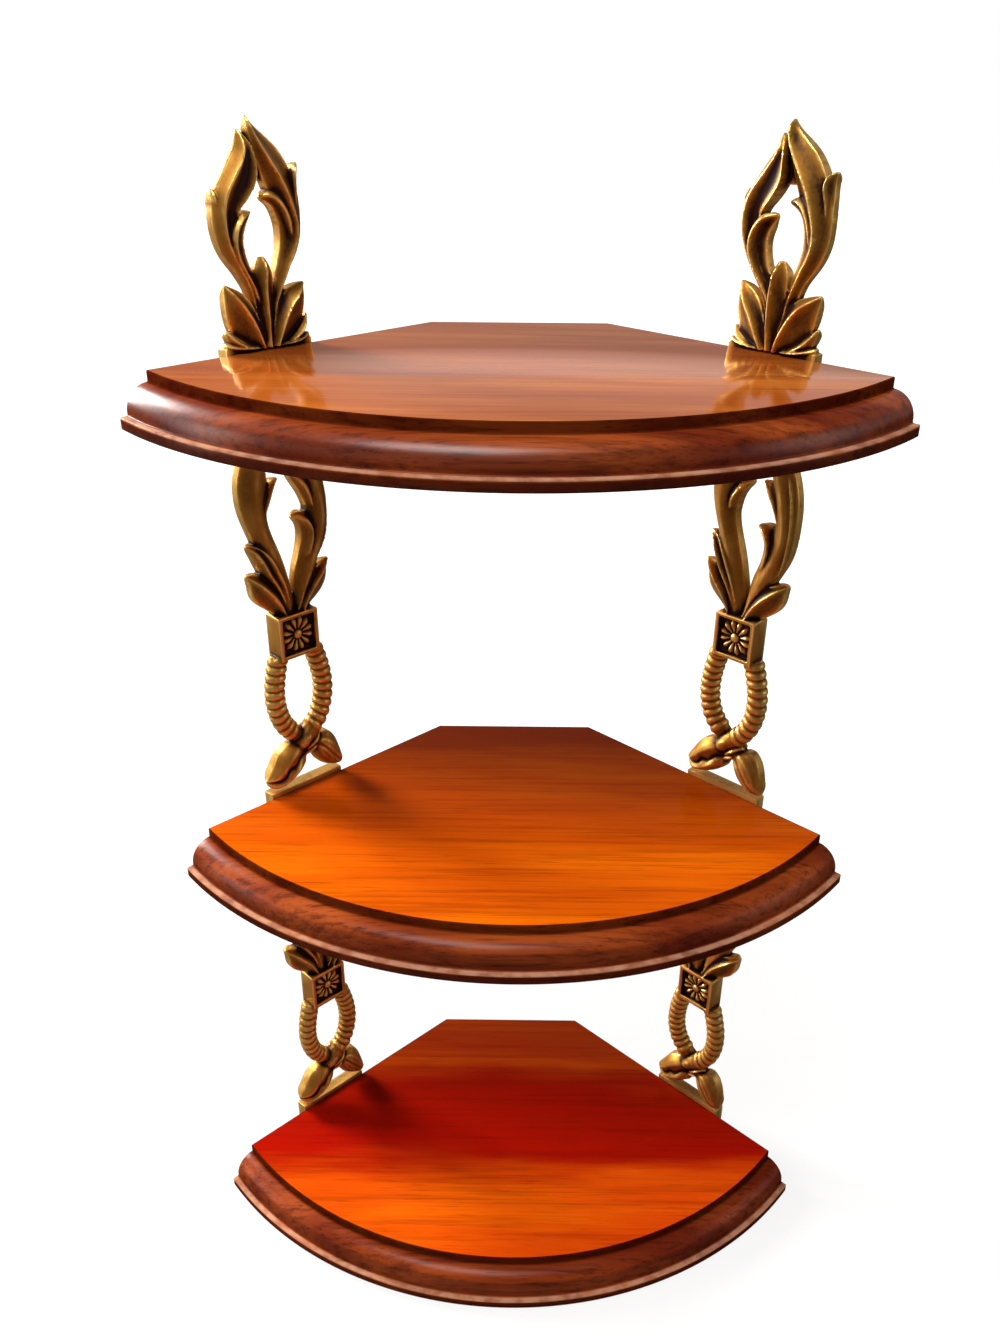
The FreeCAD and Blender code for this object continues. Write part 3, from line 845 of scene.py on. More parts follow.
@dataclass(frozen=True)
class RosetteBlock:
    """A square block with a sunk field and a rosette of club-ended petals."""

    foot: float = 66.5
    size: float = 20.0
    front: float = -3.8
    border: float = 1.8
    sunk: float = 2.4
    petals: int = 12
    petal_root: float = 0.6

    BOSS: ClassVar[Outline] = ((0.3, 1.9), (1.2, 1.8), (1.8, 1.3), (2.1, 0.6), (2.2, -0.5))
    CLUB: ClassVar[Rail] = ((1.5, 0.50, 0.9), (3.6, 0.75, 1.3), (5.6, 1.40, 1.9), (6.9, 1.35, 1.6),
                            (7.8, 0.50, 0.6))

    def add_to(self, skin: Shell, base: float) -> None:
        """Add the block to a skin.

        Args:
            skin: The skin that grows.
            base: Height that the foot is measured from.
        """
        half, edge, floor = self.size / 2, self.border, self.front + self.sunk
        low = base + self.foot
        high = low + self.size
        skin.block((-half, floor, low), (half, PANEL_THICKNESS, high))
        border = ((-half, edge - half, low, high), (half - edge, half, low, high),
                  (-half, half, low, low + edge), (-half, half, high - edge, high))
        for left, right, bottom, top in border:
            skin.block((left, self.front, bottom), (right, floor + 0.5, top))
        middle = low + half
        for order in range(self.petals):
            skin.loft(self.petal(math.tau * (order + 0.5) / self.petals, floor).sections(middle))
        skin.turned((0.0, 0.0, middle), [(radius, floor - lift) for radius, lift in self.BOSS], 20)

    def petal(self, turn: float, floor: float) -> Leaf:
        """One club-ended petal.

        Args:
            turn: Its direction, clockwise from upright.
            floor: Depth of the field it lies on.

        Returns:
            The petal, measured from the rosette's middle.
        """
        sine, cosine = math.sin(turn), math.cos(turn)
        rails = (tuple((reach * sine + side * half * cosine, reach * cosine - side * half * sine,
                        floor + self.petal_root if side else floor - lift) for reach, half, lift in self.CLUB)
                 for side in (-1, 0, 1))
        return Leaf(*rails, left_hollow=-1.2, right_hollow=-1.2, back=floor + 1.0, rows=16, across=5,
                    round_back=0.1)


# The casting's forms. Rails run from the root to the tip, measured from the face of the board below.
KNOT: dict[str, Leaf] = {
    "stalk_collar": Leaf(
        ((-0.6, 19.4, 0.4), (2.6, 22, -1.4), (5.2, 24, -1.4), (8, 25.8, 0.4)),
        ((0.2, 18.2, -0.8), (3.3, 20.8, -3.2), (6, 22.8, -3.1), (8.6, 24.6, -0.4)),
        ((1, 17, 0.8), (4.2, 19.4, 0), (7, 21.4, 0.2), (9.4, 23.6, 0.8)),
        -0.6, -0.6),
    "collar_fold": Leaf(
        ((-1.6, 16.6, 0.8), (1.6, 18.6, -1.2), (4.4, 20.4, -1), (7, 22, 0.6)),
        ((-1, 15.6, -0.4), (2.4, 17.4, -2.5), (5.2, 19, -2.3), (7.8, 20.8, 0)),
        ((-0.4, 14.4, 1), (3, 16.2, 0.5), (6, 17.8, 0.6), (8.6, 19.6, 1)),
        -0.5, -0.5),
    "crossing_fold": Leaf(
        ((6.2, 31, 1), (1.4, 29.4, 0.2), (-3.4, 26.4, 0.4), (-6.2, 22, 1.6)),
        ((6.6, 29.4, -0.6), (1.8, 26.6, -3.6), (-2, 23.2, -3.7), (-5.4, 19.4, 0.2)),
        ((7.2, 27.6, 0.8), (4, 24.2, -1.2), (1, 20.6, -1.4), (-3.8, 17.6, 1.4)),
        -0.9, -0.7),
    "left_bud_upper_sepal": Leaf(
        ((-2, 24.5, 1.6), (-8.6, 23.4, 0.8), (-13.2, 20.8, 0.8), (-16.4, 16.4, 0.8), (-19, 12.2, 1),
         (-20.9, 9.2, 1.8)),
        ((-0.6, 21.6, -0.8), (-6.6, 19.4, -3.5), (-11.2, 15.9, -3.9), (-15, 12.2, -3.5), (-18.2, 9.9, -2),
         (-20.8, 8.9, 1)),
        ((0.4, 17.6, -0.4), (-4.4, 16.2, -1.7), (-7.6, 13.2, -2.1), (-10.2, 12.8, -2.1), (-13.4, 9.4, -1.9),
         (-17.2, 8.7, -0.9), (-20.6, 8.6, 1.6)),
        -0.9, -0.3),
    "left_bud_lower_sepal": Leaf(
        ((0.4, 17.2, -0.4), (-4.2, 15.8, -1.5), (-7.4, 12.8, -1.9), (-10, 12.4, -1.9), (-13.2, 9, -1.7),
         (-17, 8.2, -0.7), (-20.5, 8, 1.4)),
        ((-0.4, 13.4, -1), (-4.6, 11.6, -3.3), (-9, 8.9, -3.7), (-13, 6.8, -3.2), (-16.6, 6.2, -2),
         (-20.2, 7.4, 0.8)),
        ((0.2, 11.4, 1.2), (-3.6, 8.4, 0.8), (-8.2, 5.8, 0.8), (-13.2, 4.1, 0.8), (-17.4, 4, 1),
         (-20.2, 6.4, 1.8)),
        -0.3, -0.9),
    "left_bud_core": Leaf(
        ((-0.6, 22.8, 1.6), (-7.5, 20, 1.5), (-12, 17, 1.5), (-15.4, 13.4, 1.5), (-18.4, 10.4, 1.6),
         (-20.3, 8.8, 2)),
        ((1, 19.2, 0.6), (-4.4, 16, 0.2), (-9, 12.6, 0), (-13.3, 9.2, 0.2), (-17, 8.4, 0.8),
         (-20.2, 8.2, 1.6)),
        ((1.6, 15.4, 1.6), (-4, 11, 1.5), (-8.8, 8.4, 1.5), (-13, 6.2, 1.5), (-17, 5.8, 1.6),
         (-20.1, 7.6, 2)),
        0, 0),
    "right_bud": Leaf(
        ((4.6, 17.4, 1), (5.8, 12.8, 0.8), (7.4, 9.6, 0.8), (10, 7, 0.8), (14.8, 4.8, 0.8),
         (20.4, 3.8, 1.6)),
        ((7, 19.8, -1.6), (9.9, 16.4, -3.4), (12.4, 13.2, -3.8), (15, 10.2, -3.7), (17.8, 7.2, -2.6),
         (20.8, 4.4, 0.8)),
        ((9.6, 23, 0.8), (12.6, 23.4, 0.8), (15.8, 21.2, 0.8), (18.2, 17, 0.8), (19.7, 11.4, 0.8),
         (20.9, 5, 1.6)),
        -1.7, -1.7, ripple=0.09, across=18),
}
SECOND_LEAF_SEAM: Rail = (
    (-3.4, 92.5, -1.2), (-6.2, 100.2, -1.9), (-9.4, 106.6, -2.1), (-11.4, 111, -2), (-13.4, 114.8, -1.6),
    (-16, 118, -0.4), (-19.5, 119.7, 1.4))
FLAME: dict[str, Leaf] = {
    "left_stem": Leaf(
        ((-5, 85, 1.2), (-8.6, 97, 1.2), (-11.2, 106, 1.2), (-13.8, 115, 1.2), (-16, 121, 1.2),
         (-18.2, 127, 1.2), (-20, 133, 1.2), (-20.8, 139, 1.2), (-20.4, 146, 1.2), (-17.6, 154, 1.2),
         (-12.8, 162, 1.2), (-7.6, 170, 1.2), (-4.4, 177.5, 1.2)),
        ((-2.6, 85, -1.2), (-4.6, 97, -2), (-6.4, 106, -2.4), (-8.8, 114, -2.7), (-11, 121, -2.9),
         (-13.2, 128, -3.1), (-14.2, 134, -3.1), (-14.2, 140, -3), (-13.2, 147, -2.9), (-10.6, 155, -2.7),
         (-7, 163, -2.3), (-3.8, 170, -1.9), (-1.6, 177.5, -1.5)),
        ((1, 85, 1), (0.6, 97, 1), (-0.6, 103, 1), (-2.4, 110, 1), (-4.4, 116, 1), (-6.2, 121, 1),
         (-7.6, 126, 1), (-8, 131, 1), (-7.2, 136, 1), (-6.4, 141, 1), (-6.6, 148, 1), (-5.2, 156, 1),
         (-2.6, 164, 1), (1.2, 177.5, 1)),
        -1, -0.9, tip_share=0.001),
    "left_upper_spur": Leaf(
        ((-12.5, 131, 0), (-11.6, 135, -1.4), (-8.6, 140.6, -1.2), (-5.2, 144, -0.2), (-1.5, 144.9, 1.6)),
        ((-10.4, 130, -1), (-9.4, 134.5, -2.8), (-7, 139.4, -2.8), (-4.4, 142.6, -1.4), (-1.4, 144.3, 0.8)),
        ((-8, 130, 1), (-7.2, 134.5, 0.8), (-5.4, 138.8, 0.8), (-3.4, 141.4, 1), (-1.3, 143.6, 1.6)),
        0.6, 0.2),
    "right_stem": Leaf(
        ((0.5, 85, 1), (2.2, 97, 1), (3.7, 105, 1), (5.5, 110, 1), (7, 115, 1), (8.6, 120, 1),
         (10.4, 125.5, 1), (11.4, 130.5, 1), (10.6, 135, 1), (9.4, 141, 1), (7.4, 148, 1), (4.6, 156, 1),
         (1, 164, 1), (-1.2, 177.5, 1)),
        ((2.4, 85, -1.5), (6.2, 97, -2.4), (9.6, 105, -2.8), (12.6, 112, -3), (15.2, 118, -3.1),
         (16.8, 124, -3.2), (16.6, 131, -3.2), (15.4, 137, -3.1), (13.4, 144, -2.9), (10.6, 152, -2.7),
         (7.2, 160, -2.4), (3.6, 168, -2), (1.4, 177.5, -1.5)),
        ((4.6, 85, 1), (9.5, 97, 1), (13.8, 104, 1), (16.8, 110, 1), (19.3, 116, 1), (20.6, 122, 1),
         (21.2, 130, 1), (21.2, 135, 1), (20.4, 142, 1), (18, 150, 1), (14.2, 158, 1), (9.6, 166, 1),
         (4.4, 177.5, 1)),
        -0.9, -0.9, tip_share=0.001),
    "right_outer_band": Leaf(
        ((15.6, 108, 0.2), (18, 116, -1.2), (19, 124, -1.5), (19.1, 131, -1.5), (18.4, 138, -1.4),
         (16.6, 146, -1.2), (13, 155, 0)),
        ((15.9, 108, 0), (18.6, 116, -1.9), (19.7, 124, -2.2), (19.9, 131, -2.2), (19.2, 138, -2.1),
         (17.5, 146, -1.8), (13.6, 155, -0.2)),
        ((15.8, 108.6, 1), (19, 116, 0.8), (20.4, 124, 0.8), (20.7, 131, 0.8), (20.2, 138, 0.8),
         (18.6, 146, 0.8), (14.2, 155.6, 1)),
        0.1, -0.2),
    "right_inner_spur": Leaf(
        ((4, 103, 2.4), (5.6, 109, 1.2), (7, 115, 0.7), (7.5, 119, 0.7), (6.9, 122.5, 0.6), (5, 125.2, 0.6),
         (3.3, 126.7, 1.4)),
        ((6.6, 102, 1.6), (8.6, 108, -1.6), (10.4, 114, -3.4), (11.2, 119.5, -3.9), (10.2, 123.6, -3.8),
         (7.4, 126.6, -2.8), (3.4, 127.2, 0.6)),
        ((10, 102, 2.4), (12, 108, 0.2), (14, 114, -0.8), (14.8, 120, -0.4), (13.4, 124.6, 0.4),
         (9.4, 128.2, 0.9), (3.5, 127.8, 1.7)),
        -0.8, 1.3),
    "right_upper_spur": Leaf(
        ((11.6, 129, 1), (9.2, 135, 0.9), (6.2, 140, 0.9), (3.5, 145, 1.5)),
        ((13.6, 129, -1.4), (11.4, 136, -2.5), (8.2, 141.5, -2.2), (3.6, 145.7, 0.6)),
        ((15.8, 130, -1), (13.6, 138, -1.2), (9.6, 144, -0.4), (4, 146.4, 1.6)),
        0.3, 0.3),
    "left_second_leaf_low": Leaf(
        ((-5.4, 92, 0.6), (-9.4, 99.5, 0.4), (-13.4, 106, 0.4), (-15.1, 109.8, 0.5), (-16.6, 113.6, 0.6),
         (-18.2, 117, 1), (-19.7, 119.3, 1.8)),
        ((-4.4, 92.3, -2), (-7.9, 99.9, -3.2), (-11.4, 106.2, -3.6), (-13.3, 110.4, -3.7),
         (-15.1, 114.2, -3.2), (-17.2, 117.5, -1.6), (-19.6, 119.5, 0.8)),
        SECOND_LEAF_SEAM,
        -0.2, 0.2),
    "left_second_leaf_high": Leaf(
        SECOND_LEAF_SEAM,
        ((-2.5, 92.7, -2), (-4.6, 100.6, -3.2), (-7.2, 106.8, -3.6), (-9.4, 111.5, -3.7),
         (-11.8, 115.3, -3), (-14.8, 118.4, -1.4), (-19.4, 119.9, 0.8)),
        ((-1.6, 93, -0.4), (-3, 101, -0.6), (-5.1, 107, -0.6), (-7.5, 112, -0.4), (-10, 115.6, 0),
         (-13.4, 118.6, 0.6), (-19.3, 120.1, 1.8)),
        0.2, -0.2),
    "left_leaf": Leaf(
        ((-7, 85, 1), (-11.8, 89.6, 1), (-15.2, 92.4, 1), (-17.8, 95.6, 1), (-18.9, 99.2, 1),
         (-19.2, 102.8, 0.9), (-20.7, 106.9, 1.6)),
        ((-4.6, 85.5, -2.6), (-7.2, 91.6, -3.6), (-10.6, 96.8, -3.9), (-14.4, 101.2, -3.6),
         (-17.4, 104.4, -2.2), (-20.6, 107, 0.6)),
        ((-2.6, 86, -0.6), (-4.2, 93, -0.6), (-6.4, 98.6, -0.3), (-9.4, 103, 0), (-13, 105.8, 0.4),
         (-16.6, 106.9, 0.9), (-20.5, 107.3, 1.6)),
        0.7, 1),
    "right_leaf": Leaf(
        ((0.6, 85, -1.6), (2.6, 89, -2.2), (4.2, 92.6, -2.4), (6.4, 96.8, -2.3), (9.8, 101, -1.8),
         (14.4, 104, -0.6), (20.8, 105.4, 1.6)),
        ((3.2, 85, -3.2), (5.6, 89.8, -3.7), (8.6, 94.4, -3.95), (12.6, 98.6, -3.9), (16.6, 102, -2.8),
         (20.9, 105.1, 0.6)),
        ((6.4, 85, 1), (11.4, 88.2, 1), (15.2, 91, 1), (18.2, 94.6, 1), (19.4, 98, 1), (19.8, 101.4, 0.9),
         (21, 104.9, 1.6)),
        1.4, 0.8),
}
CREST: dict[str, Leaf] = {
    "left_flame": Leaf(
        ((-4.2, 8, 2), (-6.6, 20, 1.2), (-9.3, 25, 1.2), (-12.3, 29, 1.2), (-15.5, 33, 1.2),
         (-18, 38.3, 1.2), (-19.1, 43.5, 1.2), (-19.2, 48.5, 1.2), (-18.5, 52.5, 1.2), (-17.2, 55.6, 1.2),
         (-14.9, 59, 1.2), (-12.8, 62, 1.2), (-10, 66, 1.2), (-7.6, 69.3, 1.4), (-6.4, 72.2, 1.8),
         (-5.6, 75, 2.4)),
        ((-3.6, 8, 1), (-5.8, 20, -1), (-8.2, 25, -1.9), (-10.6, 29, -2.4), (-13.4, 34.5, -2.8),
         (-15.4, 40, -3.2), (-16.2, 45.5, -3.4), (-15.9, 50, -3.4), (-14.2, 55, -3.4), (-10.7, 60, -3.4),
         (-7.2, 64.5, -3.3), (-5.2, 68, -2.8), (-4.6, 71.5, -1.6), (-5.2, 74.8, 1)),
        ((-2.6, 8, 2), (-3.2, 20, 0.5), (-5.6, 26, -0.2), (-7.8, 30, -0.5), (-9.8, 34.5, -0.8),
         (-10.8, 40, -1), (-10.4, 45, -1.4), (-8.8, 49.5, -2.2), (-6.2, 52.5, -3), (-3.8, 55.5, -3.5),
         (-1.9, 59, -3.7), (-1.3, 63, -3.7), (-1.7, 67, -3.4), (-2.6, 71, -2.2), (-4.8, 75, 1.4)),
        -0.3, 1.5),
    "left_nib": Leaf(
        ((-18.6, 50, 1.8), (-18.8, 53.5, 1.4), (-18.1, 56.6, 2.2)),
        ((-17.8, 50, 0), (-17.9, 53.5, -0.8), (-17.7, 56.4, 1.4)),
        ((-16.8, 50, 1), (-16.6, 53.5, 0.6), (-17.1, 56, 2)),
        0, 0),
    "web": Leaf(
        ((-4, 58.4, 2.6), (-4, 66, 2.6), (-4.6, 74, 3)),
        ((0, 57.6, 2.4), (0, 65, 2.4), (-2.6, 74, 2.8)),
        ((4.6, 58.8, 2.6), (3.6, 64, 2.6), (-1.4, 73, 3)),
        0, 0),
    "left_inner_spur": Leaf(
        ((-3.4, 10, 1.6), (-5, 20, -0.4), (-9.4, 27.5, -1.9), (-12.4, 32.5, -2.2), (-13.6, 37, -2.4),
         (-13.3, 41, -2.4), (-11.2, 45.4, -2.2), (-7.6, 48.6, -1.6), (-3.4, 48.8, 0.6)),
        ((-2.8, 10, 1), (-4, 20, -1.4), (-8.4, 27.5, -3.1), (-11.2, 32.5, -3.6), (-12.4, 37, -3.8),
         (-12, 41, -3.8), (-9.9, 45, -3.6), (-6.8, 47.4, -2.8), (-3.2, 48, 0.2)),
        ((-1.8, 10, 2), (-1.8, 20, 0.9), (-4.2, 28, 0.8), (-6.2, 33, 0.7), (-6.9, 37, 0.7),
         (-6.6, 40.5, 0.7), (-5.4, 43.5, 0.7), (-4.2, 45.6, 0.8), (-3, 47.2, 1.2)),
        0, 1.5),
    "right_flame": Leaf(
        ((1.8, 8, 2), (4, 19, 1), (5.2, 25, 0.8), (6.6, 30, 0.6), (8.1, 35, 0.5), (8.7, 40, 0.5),
         (8.1, 45, 0.5), (6.6, 50, 0.5), (4.6, 55, 0.5), (2.6, 60, 0.4), (0.8, 65, 0.2), (-1, 70, -0.4),
         (-2.3, 74.5, -0.6), (-2.3, 78, 0.4), (-1.7, 79.7, 2.2)),
        ((2.6, 8, 1), (5.6, 19, -1.5), (8.3, 25, -2.6), (10.6, 30, -3.2), (13.2, 35, -3.6),
         (14.6, 40, -3.9), (14.2, 45, -3.95), (12.6, 50, -3.95), (10.6, 55, -3.95), (7.8, 60, -3.95),
         (4.3, 65, -3.8), (1.2, 70, -3.4), (-0.9, 74.5, -2.6), (-1.5, 78, -0.8), (-1.6, 79.6, 1.6)),
        ((4, 8, 2), (8.5, 19, 1.2), (10.8, 25, 1.2), (14.4, 30, 1.2), (17.3, 35, 1.2), (18.8, 40, 1.2),
         (19.1, 45, 1.2), (18.9, 50, 1), (17.9, 55, 0.8), (16, 60, 0.6), (13.2, 65, 0.6), (9, 70, 0.8),
         (2.9, 75, 1.2), (0.2, 77.6, 1.8), (-1.5, 79.6, 2.4)),
        0.5, 0.9),
    "right_inner_spur": Leaf(
        ((9.6, 34, 1.2), (9, 40, 0.8), (7.6, 46, 0.6), (5.6, 49.6, 0.4), (1.2, 52.2, 1)),
        ((13, 34, -0.6), (12.2, 41, -2.6), (10.8, 46.5, -3), (7.6, 51.4, -2.6), (4.5, 53.2, -1.6),
         (1.1, 52.8, 0.6)),
        ((14, 34, -0.6), (13.4, 42, -2.4), (12, 48, -2.1), (8.6, 53.2, -1.4), (4.6, 54.6, -0.4),
         (1, 53.3, 1.2)),
        1.1, 0.2),
    "right_outer_spur": Leaf(
        ((17, 45, 0.6), (16.2, 52, -0.4), (15.5, 57, -1.6), (15.6, 60.6, -1.8), (16.9, 62.8, -0.8),
         (18.9, 63.8, 1.2)),
        ((17.2, 45, 0.2), (16.7, 52, -1), (16.1, 57, -2.5), (16.2, 60.2, -2.6), (17.2, 62.3, -1.6),
         (18.8, 63.5, 0.8)),
        ((18.7, 45, 1.4), (18.8, 52, 1.4), (18.6, 56, 1.6), (18.5, 59, 1.6), (18.7, 61.6, 1.6),
         (19.1, 63.2, 1.8)),
        0, 1.2),
    "right_low_leaf": Leaf(
        ((4, 0.9, -0.6), (10.5, 3.6, -0.6), (15.2, 7.4, -0.2), (18.8, 11.2, 1.6)),
        ((5, 0.8, -2), (11, 2.8, -2.4), (15.8, 6, -2.2), (18.9, 10.7, 1)),
        ((6, 0.6, 0.6), (12.5, 1.2, 0.8), (17, 4, 1), (19.1, 10, 1.8)),
        0.3, 0.3),
    "right_foot_leaf": Leaf(
        ((6, 1.8, -0.8), (12, 2.9, -0.8), (19.2, 4, 1)),
        ((6, 1.2, -3), (12.6, 1.9, -3), (19.1, 3.1, 0.4)),
        ((7, 0.6, 0), (13, 0.7, 0.2), (19.2, 1.6, 1.4)),
        0.1, 0.1),
    "left_low_leaf": Leaf(
        ((-6, 0.6, 0.6), (-12, 0.9, 0.8), (-16.6, 3.2, 1), (-18.2, 7.4, 1.8)),
        ((-5, 0.8, -2), (-11, 2.2, -2.4), (-15.2, 4.6, -2.2), (-18, 7.9, 1)),
        ((-4, 0.9, -0.6), (-10, 3.2, -0.6), (-14.4, 6, -0.2), (-17.6, 8.3, 1.6)),
        0.3, 0.3),
    "left_foot_leaf": Leaf(
        ((-7, 0.6, 0), (-13, 0.7, 0.2), (-19.2, 1.4, 1.4)),
        ((-6, 1.2, -2.6), (-12.6, 1.9, -2.6), (-19.1, 2.8, 0.4)),
        ((-6, 1.8, -0.8), (-12, 2.9, -0.8), (-19.2, 3.7, 1)),
        0.1, 0.1),
    "left_base_leaf": Leaf(
        ((-4, 0.7, 1), (-9.5, 1.4, 1), (-13.6, 4.2, 1), (-16.2, 8.6, 1), (-17.3, 14, 1), (-17.4, 19.5, 1.2),
         (-17.1, 24.4, 1.8)),
        ((-3.4, 0.7, -3.2), (-5.2, 5, -3.6), (-7.4, 10, -3.8), (-10.4, 15, -3.8), (-13.6, 19.6, -3.2),
         (-16.8, 24.2, 0.6)),
        ((-2.6, 0.7, -1), (-2.9, 6, -0.6), (-4, 11.5, -0.4), (-6.2, 16.5, -0.2), (-9.2, 20.4, 0.2),
         (-12.8, 22.8, 0.8), (-16.8, 24.6, 1.8)),
        0.6, 1.2),
    "right_base_leaf": Leaf(
        ((1.4, 0.7, -0.8), (2.2, 6.5, -0.5), (3.6, 12.3, -0.3), (6.4, 17.2, 0), (10, 20.5, 0.3),
         (14.2, 21.8, 0.8), (18.4, 22.6, 1.8)),
        ((2.4, 0.7, -3.4), (4, 5.5, -3.8), (6.4, 10.5, -3.95), (9.8, 15.5, -3.95), (14, 19.3, -3.4),
         (18.4, 22.3, 0.6)),
        ((3.5, 0.7, 1), (9, 1.8, 1), (13.4, 5.2, 1), (16.4, 9.4, 1), (17.8, 13.6, 1), (18.4, 18, 1.2),
         (18.7, 22, 1.8)),
        1.1, 0.8),
    "centre_leaf": Leaf(
        ((-2.4, 0.8, 0.6), (-3.2, 8, 0.4), (-3.9, 16, 0.4), (-4, 23, 0.4), (-3.4, 28.6, 0.6),
         (-1.4, 32.6, 1.6)),
        ((-0.8, 0.8, -3.2), (-1.1, 9, -3.6), (-1.4, 18, -3.9), (-1, 25, -3.8), (-0.2, 30, -3),
         (0.2, 33, 0.2)),
        ((1, 0.8, 0.6), (2, 8, 0.4), (3.2, 16, 0.4), (3.9, 23, 0.4), (3.6, 28.6, 0.6), (1.7, 32.7, 1.6)),
        0.7, 0.9),
}
STRANDS: tuple[RingedStrand, ...] = (
    RingedStrand(
        ((8.8, 67.5, 0.9), (11.9, 57, 0.9), (13, 48, 0.9), (12.3, 41, 0.9), (10.4, 35.4, 0.8),
         (7.6, 31.2, 0.6), (4.4, 28.2, 0.6))),
    RingedStrand(
        ((-8.8, 67.5, 1.3), (-11.4, 57, 1.3), (-12.3, 48, 1.3), (-11.4, 41, 1.3), (-9.4, 35.4, 1.5),
         (-7, 31.6, 1.8), (-4.4, 28.6, 2)), slant=-0.12),
    RingedStrand(
        ((7.4, 30.8, 0.8), (3.6, 27.2, 0.4), (0.2, 24.4, 0.6), (-3, 21.8, 1.8), (-5, 20.4, 3.2)),
        radius=4.0, groove=0.0, rings=5, slant=0.0),
    RingedStrand(
        ((-9, 34.6, 1.6), (-6.6, 31, 1.9), (-2.4, 26.6, 2.3), (2.6, 22.8, 2.2), (7.4, 19.4, 1.6),
         (10.6, 16.6, 1.2)),
        radius=3.9, groove=0.0, rings=5, slant=0.0),
)


